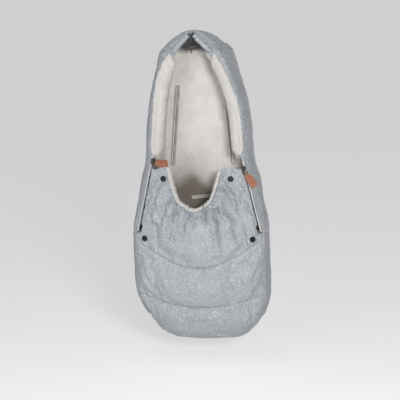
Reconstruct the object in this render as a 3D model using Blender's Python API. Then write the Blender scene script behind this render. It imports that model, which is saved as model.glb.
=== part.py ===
"""Stroller footmuff: a padded, fleece-lined sleeping bag that hangs by a strap on its back.

Metres. The model is laid out with X across, depth measured forward from the flat back (towards -Y)
and Z up from the foot end. An empty then moves everything so that the world origin is the middle of
the hanging strap's loop, where a rail or a handlebar passes.
"""

import math

import bmesh
import bpy
from mathutils import Matrix, Vector

# Overall size
LENGTH = 0.800
HALF_WIDTH = 0.176
DEPTH = 0.140

# Layers, measured inwards from the outer surface
OUTER_THICKNESS = 0.010
LAYER_GAP = 0.0022
LINING_THICKNESS = 0.0062
SEAM_GAP = 0.0005
PUFF = 0.007
WALL_PUFF = 0.0025

EDGE_PUFF_SHARE = 0.6
FOLD_CLEARANCE = 0.0012

# Harness slots
SLOT_LENGTH = LENGTH * 0.2575
SLOT_X = HALF_WIDTH * 0.3977
SLOT_Z = LENGTH * 0.69
SLOT_HALF_OPENING = 0.0045
CROTCH_SLOT_LENGTH = HALF_WIDTH * 0.3523
CROTCH_SLOT_Z = LENGTH * 0.4575
BINDING_WALL = 0.0018
BINDING_FLANGE = 0.0026
BINDING_FLANGE_THICKNESS = 0.0012
FIT_GAP = 0.0005

# Heights of the front
LOWER_SEAM_Z = LENGTH * 0.11875
UPPER_SEAM_Z = LENGTH * 0.25125
FLAP_FOLD_Z = LENGTH * 0.35625
TAB_FOLD_Z = LENGTH * 0.4375
TAB_TOP_Z = LENGTH * 0.565
RIM_FOOT_Z = LENGTH * 0.6025
RIM_SWELL_Z = LENGTH * 0.65
CASING_FOOT_Z = LENGTH * 0.93875
LOWER_SEAM_RISE = LENGTH * 0.035
UPPER_SEAM_RISE = LENGTH * 0.0825

# Neck opening
NECK_SHIFT = HALF_WIDTH * -0.0455
NECK_HALF_WIDTH = HALF_WIDTH * 0.4091
NECK_FOOT_HALF_WIDTH = HALF_WIDTH * 0.1591
NECK_TRIM_BULGE = 0.007

# Hood rim, drawcord and lock
RIM_BULGE = 0.011
HOOD_LEAN = HALF_WIDTH * 0.0795
CORD_RADIUS = 0.00135
CASING_BORE_RADIUS = 0.0036
CASING_RADIUS = 0.0066
CASING_CLEARANCE = 0.0026
LOCK_RADIUS = 0.0072
LOCK_LENGTH = 0.019
LOCK_BORE_RADIUS = 0.0051
LOCK_WALL = 0.0025
LOCK_SLOT_LENGTH = 0.0040
LOCK_SLOT_WIDTH = 0.0076
LOCK_DROP = 0.030
PLUNGER_RADIUS = 0.0047
PLUNGER_HEAD_RADIUS = 0.0062
PLUNGER_HEAD_LENGTH = 0.0035
PLUNGER_STROKE = 0.0030
PLUNGER_SLOT_WIDTH = 0.0074
SPRING_RADIUS = 0.0030
SPRING_WIRE_RADIUS = 0.0004
SPRING_TURNS = 3
SPRING_STEPS_PER_TURN = 12

# Zips
ZIP_FOOT_Z = LENGTH * 0.359375
ZIP_HEAD_Z = LENGTH * 0.59875
FLAP_TAPE_FOOT_Z = LENGTH * 0.3825
TAPE_END_CLEARANCE = 0.0055
ZIP_FOOT_HALF_X = HALF_WIDTH * 0.8920
ZIP_HEAD_HALF_X = HALF_WIDTH * 0.6307
ZIP_FOOT_DEPTH = DEPTH * 0.7429
ZIP_HEAD_DEPTH = DEPTH * 0.8
CHANNEL_HALF_WIDTH = 0.0072
CHANNEL_CLEARANCE = 0.0010
TAPE_THICKNESS = 0.0009
TAPE_SINK = 0.0026
COVER_TAPE_EXTRA = 0.0031
TOOTH_PITCH = 0.0056
TOOTH_HEIGHT = 0.0028
TOOTH_REACH = 0.0026
TOOTH_THICKNESS = 0.0026
CENTRE_GROOVE = 0.0018
STOP_HEIGHT = 0.0035

# Sliders, bails and pulls
SLIDER_LENGTH = 0.013
SLIDER_HALF_WIDTH = 0.0060
SLIDER_TIP_HALF_WIDTH = 0.0046
SLIDER_PLATE = 0.0013
SLIDER_REST_LEFT_Z = LENGTH * 0.58875
SLIDER_REST_RIGHT_Z = LENGTH * 0.565
SLIDER_CLEARANCE = 0.0005
SLIDER_WEB = 0.0008
BRIDGE_HEIGHT = 0.0072
BRIDGE_BAR = 0.0014
BRIDGE_HALF_RUN = 0.0039
BAIL_WIRE_RADIUS = 0.0009
BAIL_NEAR_RADIUS = 0.0026
BAIL_FAR_HALF_WIDTH = 0.0048
BAIL_LENGTH = 0.0110
BAIL_REST_LEFT = math.radians(-108)
BAIL_REST_RIGHT = math.radians(-25)
BAIL_TILT_LEFT = math.radians(27)
BAIL_TILT_RIGHT = math.radians(12)
PULL_LENGTH = 0.036
PULL_WIDTH = 0.0185
PULL_THICKNESS = 0.0022
PULL_SHOULDER = 0.0065
PULL_NECK_WIDTH = 0.0100

# Snap fasteners
SNAP_RADIUS = 0.0076
SNAP_THICKNESS = 0.0022
SNAP_SHANK_RADIUS = 0.0026
SNAP_RECESS = 0.0010
UPPER_SNAP_X = HALF_WIDTH * 0.4773
UPPER_SNAP_Z = LENGTH * 0.53375
LOWER_SNAP_X = HALF_WIDTH * 0.7614
LOWER_SNAP_Z = LENGTH * 0.3425

# Hanging strap
RAIL_RADIUS = 0.0250
RAIL_Z = LENGTH * 0.8925
STRAP_WIDTH = 0.040
STRAP_THICKNESS = 0.0024
STRAP_FOOT_LENGTH = 0.026
STRAP_CLEARANCE = 0.0045

# Blank patch on the foot of the cover
PATCH_WIDTH = 0.044
PATCH_HEIGHT = 0.040
PATCH_THICKNESS = 0.0012
PATCH_Z = LENGTH * 0.05375

# Grid counts
WALL_COLUMNS = 9
BACK_COLUMNS = 4
COVER_COLUMNS = 14
TAB_COLUMNS = 6
RIM_SIDES = 6

# Shares of the girth parameter where the flat back ends and where the side turns to the front
FLAT_SHARE = 0.40
SIDE_SHARE = 0.75
FLAT_WIDTH_SHARE = 0.80

# Outline stations: height share of LENGTH, then half width share of HALF_WIDTH, then shares of DEPTH:
# back, widest point, front crown
BODY_SHARES = (
    (0.0000, 0.000, 0.464, 0.464, 0.464),
    (0.0063, 0.434, 0.314, 0.450, 0.629),
    (0.0260, 0.617, 0.171, 0.443, 0.757),
    (0.0450, 0.714, 0.100, 0.443, 0.829),
    (0.0840, 0.829, 0.029, 0.443, 0.907),
    (0.1225, 0.920, 0.000, 0.443, 0.957),
    (0.1610, 0.983, 0.000, 0.443, 0.986),
    (0.2190, 1.000, 0.000, 0.443, 1.000),
    (0.3125, 0.994, 0.000, 0.443, 1.000),
    (0.3625, 0.990, 0.000, 0.443, 0.990),
    (0.4113, 0.960, 0.000, 0.443, 0.975),
    (0.4500, 0.925, 0.000, 0.436, 0.955),
    (0.5275, 0.862, 0.000, 0.430, 0.900),
    (0.5690, 0.806, 0.000, 0.425, 0.870),
    (0.6030, 0.783, 0.000, 0.421, 0.860),
    (0.6813, 0.760, 0.000, 0.407, 0.850),
    (0.7775, 0.700, 0.000, 0.393, 0.850),
    (0.8325, 0.632, 0.000, 0.386, 0.850),
    (0.8750, 0.577, 0.000, 0.379, 0.850),
    (0.9260, 0.511, 0.000, 0.400, 0.850),
    (0.9500, 0.420, 0.014, 0.429, 0.840),
    (0.9690, 0.320, 0.057, 0.471, 0.820),
    (0.9840, 0.215, 0.157, 0.514, 0.790),
    (0.9950, 0.110, 0.343, 0.571, 0.740),
    (1.0000, 0.000, 0.607, 0.607, 0.607),
)
# Edge of the side walls: below the zip, and above it as the rim of the hood.
# Height share of LENGTH, half width share of HALF_WIDTH, depth share of DEPTH
EDGE_SHARES = (
    (0.0000, 0.000, 0.464),
    (0.0063, 0.417, 0.500),
    (0.0260, 0.589, 0.543),
    (0.0450, 0.678, 0.571),
    (0.0840, 0.779, 0.614),
    (0.1225, 0.856, 0.657),
    (0.1610, 0.898, 0.679),
    (0.2190, 0.903, 0.700),
    (0.3125, 0.896, 0.729),
    (0.3500, 0.893, 0.740),
    (0.6100, 0.627, 0.800),
    (0.6813, 0.610, 0.786),
    (0.7775, 0.560, 0.771),
    (0.8325, 0.503, 0.764),
    (0.8750, 0.437, 0.757),
    (0.9260, 0.324, 0.750),
    (0.9500, 0.227, 0.736),
    (0.9690, 0.142, 0.721),
    (0.9840, 0.076, 0.700),
    (0.9950, 0.030, 0.671),
    (1.0000, 0.000, 0.607),
)
# Rows of the meshes along the length
ROW_SHARES = (
    0.0, 0.0063, 0.026, 0.050, 0.084, 0.1225, 0.165, 0.219, 0.265, 0.3125, 0.3425, 0.35625, 0.395,
    0.4375, 0.480, 0.525, 0.56875, 0.601, 0.6100, 0.650, 0.700, 0.750, 0.800, 0.8425, 0.880, 0.910,
    0.9325, 0.950, 0.969, 0.984, 0.995, 1.0,
)
# Rows of the quilted channels, between their seams
FOOT_CHANNEL_SHARES = (0.0, 0.053, 0.12, 0.22, 0.32, 0.42, 0.56, 0.71, 0.86, 1.0)
CHANNEL_SHARES = (0.0, 0.14, 0.32, 0.5, 0.68, 0.86, 1.0)
FOOT_ROW_SHARE = 0.084
SPLIT_ROW_SHARE = 0.525
LINING_TOP_SHARE = 0.950
CROWN_ROW_SHARE = 0.950
LEAN_START_SHARE = 0.70
NECK_CURVE_SHARE = 0.55
LIP_SWELL_SHARE = 0.8
RIM_LOW_SHARE = 0.6100
RIM_HIGH_SHARE = 0.9265
CASING_TOP_SHARE = 0.990
POLE_FADE = 12


# Maths


def smooth(value):
    """Eases from 0 to 1 while value goes from 0 to 1."""
    value = min(max(value, 0.0), 1.0)
    return value * value * (3 - 2 * value)


def monotone_slopes(xs, ys):
    """Slopes of a curve through the points that never overshoots them."""
    steps = [(ys[i + 1] - ys[i]) / (xs[i + 1] - xs[i]) for i in range(len(xs) - 1)]
    slopes = [steps[0]]
    for before, after in zip(steps, steps[1:]):
        slopes.append(0.0 if before * after <= 0 else 2 * before * after / (before + after))
    slopes.append(steps[-1])
    return slopes


class Curve:
    """A smooth curve through the columns of a table, by its first column."""

    def __init__(self, table, column):
        self.xs = [row[0] for row in table]
        self.ys = [row[column] for row in table]
        self.slopes = monotone_slopes(self.xs, self.ys)

    def __call__(self, x):
        i = 0
        while i < len(self.xs) - 2 and x > self.xs[i + 1]:
            i += 1
        span = self.xs[i + 1] - self.xs[i]
        t = min(max((x - self.xs[i]) / span, 0.0), 1.0)
        h1 = (1 + 2 * t) * (1 - t) ** 2
        h2 = t * (1 - t) ** 2
        h3 = t * t * (3 - 2 * t)
        h4 = t * t * (t - 1)
        return (
            h1 * self.ys[i]
            + h2 * span * self.slopes[i]
            + h3 * self.ys[i + 1]
            + h4 * span * self.slopes[i + 1]
        )


HALF_WIDTH_CURVE = Curve(BODY_SHARES, 1)
BACK_CURVE = Curve(BODY_SHARES, 2)
WIDEST_CURVE = Curve(BODY_SHARES, 3)
CROWN_CURVE = Curve(BODY_SHARES, 4)
EDGE_X_CURVE = Curve(EDGE_SHARES, 1)
EDGE_DEPTH_CURVE = Curve(EDGE_SHARES, 2)


# The shared surface of all soft layers


def edge_at(s):
    """Half width and depth of the side walls' edge: straight along the zip."""
    z = s * LENGTH
    low = FLAP_FOLD_Z
    if low <= z <= RIM_FOOT_Z:
        share = (z - low) / (RIM_FOOT_Z - low)
        half = ZIP_FOOT_HALF_X + (ZIP_HEAD_HALF_X - ZIP_FOOT_HALF_X) * share
        deep = ZIP_FOOT_DEPTH + (ZIP_HEAD_DEPTH - ZIP_FOOT_DEPTH) * share
        return half, deep
    return HALF_WIDTH * EDGE_X_CURVE(s), DEPTH * EDGE_DEPTH_CURVE(s)


def inset(x, depth, z, t):
    """A point moved inwards: the whole form is drawn towards its core."""
    core = DEPTH / 2
    middle = LENGTH / 2
    x = x * (HALF_WIDTH - t) / HALF_WIDTH
    depth = core + (depth - core) * (core - t) / core
    z = middle + (z - middle) * (middle - t) / middle
    return Vector((x, -depth, z))


def leaned(x, depth, s):
    """The hood's front leans a little to the left, as it hangs."""
    lean = HOOD_LEAN * smooth((s - LEAN_START_SHARE) / (1 - LEAN_START_SHARE))
    return x - lean * depth / DEPTH


def wall_point(u, s, t):
    """Back and side walls: u runs from the left edge (-1) round the back (0) to the right edge (1)."""
    half = HALF_WIDTH * HALF_WIDTH_CURVE(s)
    back = DEPTH * BACK_CURVE(s)
    widest = DEPTH * WIDEST_CURVE(s)
    edge_x, edge_depth = edge_at(s)
    flat = FLAT_WIDTH_SHARE * half
    a = abs(u)
    if a <= FLAT_SHARE:
        x = flat * a / FLAT_SHARE
        depth = back
    elif a <= SIDE_SHARE:
        turn = (a - FLAT_SHARE) / (SIDE_SHARE - FLAT_SHARE) * math.pi / 2
        x = flat + (half - flat) * math.sin(turn)
        depth = widest - (widest - back) * math.cos(turn)
    else:
        turn = (a - SIDE_SHARE) / (1 - SIDE_SHARE) * math.pi / 2
        x = edge_x + (half - edge_x) * math.cos(turn)
        depth = widest + (edge_depth - widest) * math.sin(turn)
    x = leaned(math.copysign(x, u), depth, s)
    return inset(x, depth, s * LENGTH, t)


def cover_point(u, s, t):
    """Front cover: u runs from its left edge (-1) to its right edge (1)."""
    edge_x, edge_depth = edge_at(s)
    crown = DEPTH * CROWN_CURVE(s)
    x = u * edge_x
    depth = edge_depth + (crown - edge_depth) * math.cos(math.pi / 2 * u)
    return inset(x, depth + SEAM_GAP, s * LENGTH, t)


def wall_end(s, setback, t=0.0):
    """Girth share at which a layer of the side wall stops, this far across from the seam."""
    half = HALF_WIDTH * HALF_WIDTH_CURVE(s)
    edge_x, _ = edge_at(s)
    wanted = (edge_x + setback) * HALF_WIDTH / (HALF_WIDTH - t) - edge_x
    turn = math.acos(min(wanted / (half - edge_x), 1.0))
    return SIDE_SHARE + (1 - SIDE_SHARE) * turn / (math.pi / 2)


def in_zip_zone(s):
    return FLAP_FOLD_Z - SEAM_GAP <= s * LENGTH <= RIM_FOOT_Z - SEAM_GAP / 2


def wall_stop(s):
    return wall_end(s, CHANNEL_HALF_WIDTH) if in_zip_zone(s) else 1 - girth_gap()


def side_point(u, s, t):
    """The padded side wall, whose edge stands square beside the zip all through its thickness."""
    if in_zip_zone(s) and abs(u) > SIDE_SHARE:
        share = (abs(u) - SIDE_SHARE) / (wall_stop(s) - SIDE_SHARE)
        end = wall_end(s, CHANNEL_HALF_WIDTH, max(t, 0.0))
        u = math.copysign(SIDE_SHARE + (end - SIDE_SHARE) * share, u)
    return wall_point(u, s, t)


def cover_stop(s):
    edge_x, _ = edge_at(s)
    setback = CHANNEL_HALF_WIDTH if in_zip_zone(s) else SEAM_GAP
    return 1 - setback / max(edge_x, CHANNEL_HALF_WIDTH * 2)


def girth_gap():
    return SEAM_GAP / (HALF_WIDTH + DEPTH)


def rows_between(low, high):
    """Row shares from low to high, with half a seam gap left at both ends."""
    gap = SEAM_GAP / LENGTH
    inner = [s for s in ROW_SHARES if low + 2 * gap < s < high - 2 * gap]
    first = low if low == 0 else low + gap
    last = high if high == 1 else high - gap
    return [first, *inner, last]


# Mesh helpers


def material(name, colour, roughness, metallic=0.0):
    made = bpy.data.materials.new(name)
    made.use_nodes = True
    shader = made.node_tree.nodes["Principled BSDF"]
    shader.inputs["Base Color"].default_value = (*colour, 1.0)
    shader.inputs["Roughness"].default_value = roughness
    shader.inputs["Metallic"].default_value = metallic
    made.diffuse_color = (*colour, 1.0)
    return made


def add_object(name, bm, finish, parent, smooth_angle=math.radians(50)):
    """An object from a closed bmesh, with its faces out and its sharp edges kept."""
    bmesh.ops.recalc_face_normals(bm, faces=bm.faces)
    mesh = bpy.data.meshes.new(name)
    bm.to_mesh(mesh)
    bm.free()
    mesh.shade_smooth()
    mesh.set_sharp_from_angle(angle=smooth_angle)
    mesh.materials.append(finish)
    made = bpy.data.objects.new(name, mesh)
    bpy.context.scene.collection.objects.link(made)
    made.parent = parent
    return made


def add_empty(name, parent, location=(0, 0, 0), rotation=None):
    made = bpy.data.objects.new(name, None)
    bpy.context.scene.collection.objects.link(made)
    made.parent = parent
    made.location = location
    if rotation is not None:
        made.rotation_mode = "QUATERNION"
        made.rotation_quaternion = rotation
    return made


def closed_grid(outer, inner):
    """A slab between two grids of points of one size: two skins and a rim."""
    bm = bmesh.new()
    skins = [[[bm.verts.new(p) for p in row] for row in grid] for grid in (outer, inner)]
    for skin in skins:
        for low, high in zip(skin, skin[1:]):
            for k in range(len(low) - 1):
                bm.faces.new((low[k], low[k + 1], high[k + 1], high[k]))
    top, bottom = skins

    def wall(a, b):
        for k in range(len(a) - 1):
            bm.faces.new((a[k], a[k + 1], b[k + 1], b[k]))

    wall(top[0], bottom[0])
    wall(top[-1], bottom[-1])
    wall([row[0] for row in top], [row[0] for row in bottom])
    wall([row[-1] for row in top], [row[-1] for row in bottom])
    bmesh.ops.remove_doubles(bm, verts=bm.verts, dist=SEAM_GAP / 100)
    return bm


def slab(name, grid, point, outer, inner, finish, parent):
    """A layer of the surface over a grid of (u, s), between two depths given as functions or lengths."""

    def depth_of(value, u, s, i, k):
        if not callable(value):
            return value
        return value(u, s, i / (len(grid) - 1), k / (len(grid[i]) - 1))

    skins = [
        [
            [point(u, s, depth_of(value, u, s, i, k)) for k, (u, s) in enumerate(row)]
            for i, row in enumerate(grid)
        ]
        for value in (outer, inner)
    ]
    return add_object(name, closed_grid(*skins), finish, parent)


def wall_grid(u_low, u_high, rows, columns):
    """A grid whose ends may be functions of the row."""
    grid = []
    for s in rows:
        low = u_low(s) if callable(u_low) else u_low
        high = u_high(s) if callable(u_high) else u_high
        grid.append([(low + (high - low) * k / columns, s) for k in range(columns + 1)])
    return grid


def sweep(path, profile, closed_path=False):
    """A closed profile carried along frames. Each frame is (centre, across, out)."""
    bm = bmesh.new()
    rings = [
        [bm.verts.new(centre + across * a + out * b) for a, b in profile]
        for centre, across, out in path
    ]
    count = len(profile)
    pairs = list(zip(rings, rings[1:]))
    if closed_path:
        pairs.append((rings[-1], rings[0]))
    for low, high in pairs:
        for k in range(count):
            n = (k + 1) % count
            bm.faces.new((low[k], low[n], high[n], high[k]))
    if not closed_path:
        bm.faces.new(list(reversed(rings[0])))
        bm.faces.new(rings[-1])
    return bm


def prism(outline, low, high, axis=1):
    """An outline extruded from low to high along an axis. Outline points fill the other two axes."""

    def place(a, b, c):
        point = [a, b]
        point.insert(axis, c)
        return Vector(point)

    bm = bmesh.new()
    rings = [[bm.verts.new(place(a, b, c)) for a, b in outline] for c in (low, high)]
    count = len(outline)
    bm.faces.new(rings[0])
    bm.faces.new(list(reversed(rings[1])))
    for k in range(count):
        n = (k + 1) % count
        bm.faces.new((rings[0][n], rings[0][k], rings[1][k], rings[1][n]))
    return bm


def circle_points(radius, count, centre=(0.0, 0.0), start=0.0, sweep_angle=2 * math.pi):
    """Points on a circle or an arc. A full turn leaves its last point out."""
    full = abs(sweep_angle - 2 * math.pi) < 1e-9
    steps = count if full else count - 1
    return [
        (
            centre[0] + radius * math.cos(start + sweep_angle * k / steps),
            centre[1] + radius * math.sin(start + sweep_angle * k / steps),
        )
        for k in range(count)
    ]


def stadium(half_run, radius, count=8):
    """A slot's outline: two half circles, half_run either side of the centre along the first axis."""
    right = circle_points(radius, count, (half_run, 0), -math.pi / 2, math.pi)
    left = circle_points(radius, count, (-half_run, 0), math.pi / 2, math.pi)
    return right + left


def rounded_bar(width, height, corner, count=4):
    """A rectangle's outline with round corners, centred."""
    points = []
    for index, (sx, sy) in enumerate(((1, -1), (1, 1), (-1, 1), (-1, -1))):
        centre = (sx * (width / 2 - corner), sy * (height / 2 - corner))
        points += circle_points(corner, count, centre, (index - 1) * math.pi / 2, math.pi / 2)
    return points


def revolve(profile, segments=20):
    """A turned solid about local Y. Profile points are (radius, y), starting and ending on the axis."""
    bm = bmesh.new()
    rings = []
    for radius, y in profile:
        if radius == 0:
            rings.append([bm.verts.new((0, y, 0))])
            continue
        ring = []
        for a, b in circle_points(radius, segments):
            ring.append(bm.verts.new((a, y, b)))
        rings.append(ring)
    for low, high in zip(rings, rings[1:]):
        for k in range(segments):
            n = (k + 1) % segments
            corners = [low[k % len(low)], low[n % len(low)], high[n % len(high)], high[k % len(high)]]
            unique = list(dict.fromkeys(corners))
            if len(unique) > 2:
                bm.faces.new(unique)
    return bm


def cut(target, bm_cutter, name, parent, matrix=None):
    """Takes a closed shape out of an object with a Boolean modifier."""
    if matrix is not None:
        bm_cutter.transform(matrix)
    cutter = add_object(name, bm_cutter, target.data.materials[0], parent)
    cutter.hide_render = True
    cutter.display_type = "WIRE"
    modifier = target.modifiers.new(name, "BOOLEAN")
    modifier.operation = "DIFFERENCE"
    modifier.object = cutter
    return cutter


# Soft pieces


def wall_depth(u, s, v, w):
    """Side walls swell a little between their seams."""
    return -WALL_PUFF * math.sin(math.pi * w) * smooth(POLE_FADE * s * (1 - s))


def lip_swell(u, s):
    """Layers are thicker at the hood's lip, and not at the pole, where all girth shares meet."""
    at_lip = smooth((abs(u) - SIDE_SHARE) / (1 - SIDE_SHARE))
    at_hood = smooth((s * LENGTH - ZIP_HEAD_Z) / (RIM_SWELL_Z - ZIP_HEAD_Z))
    return 1 + LIP_SWELL_SHARE * at_lip * at_hood * smooth(POLE_FADE * (1 - s))


def outer_back(u, s, v=0, w=0):
    return OUTER_THICKNESS * lip_swell(u, s)


def lining_front(u, s, v=0, w=0):
    return outer_back(u, s) + LAYER_GAP


def lining_back(u, s, v=0, w=0):
    return lining_front(u, s) + LINING_THICKNESS * lip_swell(u, s)


def build_walls(fabric, fleece, parent):
    """Flat back, side walls, foot gusset and hood crown, and the fleece inside them."""
    gap = girth_gap()
    body_rows = rows_between(FOOT_ROW_SHARE, CROWN_ROW_SHARE)
    low_rows = rows_between(FOOT_ROW_SHARE, SPLIT_ROW_SHARE)
    high_rows = rows_between(SPLIT_ROW_SHARE, CROWN_ROW_SHARE)
    foot_rows = rows_between(0, FOOT_ROW_SHARE)
    crown_rows = rows_between(CROWN_ROW_SHARE, 1)
    flat = FLAT_SHARE - gap
    panels = {}
    for name, rows in (("back_panel_lower", low_rows), ("back_panel_upper", high_rows)):
        grid = wall_grid(-flat, flat, rows, BACK_COLUMNS)
        panels[name] = slab(name, grid, wall_point, 0, OUTER_THICKNESS, fabric, parent)
    grid = wall_grid(-flat, flat, body_rows, BACK_COLUMNS)
    panels["lining_back"] = slab(
        "lining_back", grid, wall_point, lining_front, lining_back, fleece, parent
    )
    for side, sign in (("left", -1), ("right", 1)):
        start = sign * (FLAT_SHARE + gap)
        grid = wall_grid(start, lambda s: sign * wall_stop(s), body_rows, WALL_COLUMNS)
        slab(f"side_wall_{side}", grid, side_point, wall_depth, outer_back, fabric, parent)
        slab(f"lining_side_{side}", grid, side_point, lining_front, lining_back, fleece, parent)
    end = 1 - gap
    foot_grid = wall_grid(-end, end, foot_rows, WALL_COLUMNS * 2)
    slab("foot_gusset", foot_grid, wall_point, 0, outer_back, fabric, parent)
    slab("lining_foot", foot_grid, wall_point, lining_front, lining_back, fleece, parent)
    crown_grid = wall_grid(-end, end, crown_rows, WALL_COLUMNS * 2)
    slab("hood_crown", crown_grid, wall_point, 0, outer_back, fabric, parent)
    return panels


def seam_height(middle, rise, u):
    """A quilting seam: lowest at the middle, rising to both sides."""
    return (middle + rise * (1 - math.cos(math.pi / 2 * u))) / LENGTH


def cover_grid(bottom, top, shares):
    """Rows between two seams that are functions of u."""
    grid = []
    for share in shares:
        middle = bottom(0) + (top(0) - bottom(0)) * share
        stop = cover_stop(middle)
        row = []
        for k in range(COVER_COLUMNS + 1):
            u = stop * (2 * k / COVER_COLUMNS - 1)
            low = bottom(u)
            row.append((u, low + (top(u) - low) * share))
        grid.append(row)
    return grid


def channel_puff(u, s, v, w):
    """A quilted channel: full between its seams, drawn in at its edges."""
    across = math.sin(math.pi * v) ** 0.5
    along = math.sin(math.pi * w) ** 0.3
    return -PUFF * across * along


def cover_inner(u, s, v=0, w=0):
    return OUTER_THICKNESS


def build_cover(fabric, fleece, parent):
    """The sewn part of the front: lower, middle and upper channels and the lining behind them."""
    gap = SEAM_GAP / LENGTH

    def foot(u):
        return 0.0

    def lower_seam(u, offset=0.0):
        return seam_height(LOWER_SEAM_Z, LOWER_SEAM_RISE, u) + offset

    def upper_seam(u, offset=0.0):
        return seam_height(UPPER_SEAM_Z, UPPER_SEAM_RISE, u) + offset

    def fold(u):
        return FLAP_FOLD_Z / LENGTH - gap

    channels = (
        ("cover_lower", foot, lambda u: lower_seam(u, -gap), FOOT_CHANNEL_SHARES),
        ("cover_middle", lambda u: lower_seam(u, gap), lambda u: upper_seam(u, -gap), CHANNEL_SHARES),
        ("cover_upper", lambda u: upper_seam(u, gap), fold, CHANNEL_SHARES),
    )
    made = {}
    for name, bottom, top, shares in channels:
        grid = cover_grid(bottom, top, shares)
        made[name] = slab(name, grid, cover_point, channel_puff, cover_inner, fabric, parent)
    rows = rows_between(0, FLAP_FOLD_Z / LENGTH)
    grid = wall_grid(lambda s: -cover_stop(s), cover_stop, rows, COVER_COLUMNS)
    made["lining_cover"] = slab(
        "lining_cover",
        grid,
        cover_point,
        OUTER_THICKNESS + LAYER_GAP,
        OUTER_THICKNESS + LAYER_GAP + LINING_THICKNESS,
        fleece,
        parent,
    )
    return made


def neck_half(s):
    """Half width of the U-shaped neck opening at a height."""
    share = (s * LENGTH - TAB_FOLD_Z) / (TAB_TOP_Z - TAB_FOLD_Z)
    share = min(max(share, 0.0), 1.0)
    return NECK_FOOT_HALF_WIDTH + (NECK_HALF_WIDTH - NECK_FOOT_HALF_WIDTH) * share**NECK_CURVE_SHARE


def neck_edge(side, s):
    """Girth share of the neck's edge on one side, where the trim ends."""
    edge_x, _ = edge_at(s)
    return (NECK_SHIFT + side * neck_half(s)) / edge_x


def soft_edge_puff(u, s, v, w):
    """Padding that is full in the middle and drawn in at the sides only."""
    return -PUFF * EDGE_PUFF_SHARE * math.sin(math.pi * w) ** 0.5


def build_flap(fabric, fleece, parent):
    """The part of the cover between its two fold lines."""
    rows = rows_between(FLAP_FOLD_Z / LENGTH, TAB_FOLD_Z / LENGTH)
    rows.insert(2, (rows[1] + rows[2]) / 2)
    grid = wall_grid(lambda s: -cover_stop(s), cover_stop, rows, COVER_COLUMNS)
    slab("cover_flap", grid, cover_point, soft_edge_puff, OUTER_THICKNESS, fabric, parent)
    back = OUTER_THICKNESS + LAYER_GAP
    slab("lining_flap", grid, cover_point, back, lining_total(), fleece, parent)


def tab_rows():
    low = TAB_FOLD_Z / LENGTH + SEAM_GAP / LENGTH / 2
    high = TAB_TOP_Z / LENGTH
    return [low + (high - low) * i / 6 for i in range(7)]


def build_tab(side, fabric, fleece, parent):
    """One corner of the cover beside the neck, with its lining and the fleece edge along the neck."""
    sign = -1 if side == "left" else 1
    rows = tab_rows()
    grid = wall_grid(
        lambda s: neck_edge(sign, s), lambda s: sign * cover_stop(s), rows, TAB_COLUMNS
    )
    made = {}
    made["outer"] = slab(
        f"cover_tab_{side}", grid, cover_point, soft_edge_puff, OUTER_THICKNESS, fabric, parent
    )
    made["lining"] = slab(
        f"lining_tab_{side}",
        grid,
        cover_point,
        OUTER_THICKNESS + LAYER_GAP,
        OUTER_THICKNESS + LAYER_GAP + LINING_THICKNESS,
        fleece,
        parent,
    )
    path = []
    for s in rows:
        u = neck_edge(sign, s)
        path.append(edge_frame(cover_point, u, s, u - sign * girth_gap(), 0, lining_total()))
    bm = sweep(path, bead_profile(NECK_TRIM_BULGE))
    add_object(f"neck_trim_{side}", bm, fleece, parent)
    return made


def lining_total():
    return OUTER_THICKNESS + LAYER_GAP + LINING_THICKNESS


def edge_frame(point, u, s, u_beyond, t_out, t_in):
    """Frame of a bead on an edge: the middle of the edge, its half thickness and the way out of it."""
    top = point(u, s, t_out)
    bottom = point(u, s, t_in)
    beyond = (point(u_beyond, s, (t_out + t_in) / 2) - (top + bottom) / 2).normalized()
    across = (top - bottom) / 2
    beyond = (beyond - across * (beyond.dot(across) / across.length_squared)).normalized()
    return (top + bottom) / 2 + beyond * SEAM_GAP * 2, across, beyond


def bead_profile(bulge):
    """Half round: flat against the edge, in half thicknesses across and metres out."""
    points = []
    for k in range(RIM_SIDES + 1):
        turn = -math.pi / 2 + math.pi * k / RIM_SIDES
        points.append((math.sin(turn), bulge * math.cos(turn)))
    return points


def build_neck_foot(fleece, parent):
    """The fleece edge along the bottom of the neck, standing on the flap's top edge."""
    s = TAB_FOLD_Z / LENGTH
    low = neck_edge(-1, s)
    high = neck_edge(1, s)
    path = []
    count = 8
    edge_x, _ = edge_at(s)
    margin = (NECK_TRIM_BULGE + SEAM_GAP * 2) / edge_x
    for k in range(count + 1):
        u = low + margin + (high - low - 2 * margin) * k / count
        top = cover_point(u, s, 0)
        bottom = cover_point(u, s, lining_total())
        up = Vector((0, 0, 1))
        across = (top - bottom) / 2
        up = (up - across * (up.dot(across) / across.length_squared)).normalized()
        path.append(((top + bottom) / 2 + up * SEAM_GAP / 2, across, up))
    add_object("neck_trim_foot", sweep(path, bead_profile(NECK_TRIM_BULGE)), fleece, parent)


def rim_frames(sign, s_low, s_high):
    frames = []
    for s in rows_between(s_low, s_high):
        u = sign * (1 - girth_gap())
        frames.append(edge_frame(wall_point, u, s, sign, 0, lining_back(u, s)))
    return frames


def casing_centres(sign, count):
    """Centre line of the drawcord casing along the top of the hood's rim."""
    centres = []
    s_low = CASING_FOOT_Z / LENGTH
    s_high = CASING_TOP_SHARE
    for i in range(count + 1):
        s = s_low + (s_high - s_low) * i / count
        edge = wall_point(sign, s, OUTER_THICKNESS / 2)
        out = Vector((0, -1, 0))
        centres.append(edge + out * (CASING_RADIUS + CASING_CLEARANCE))
    return centres


def tube_frames(points):
    """Frames across a line of points, kept level with Y where they can be."""
    frames = []
    for i, point in enumerate(points):
        before = points[max(i - 1, 0)]
        after = points[min(i + 1, len(points) - 1)]
        along = (after - before).normalized()
        out = Vector((0, -1, 0))
        across = along.cross(out).normalized()
        out = across.cross(along).normalized()
        frames.append((point, across, out))
    return frames


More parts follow.
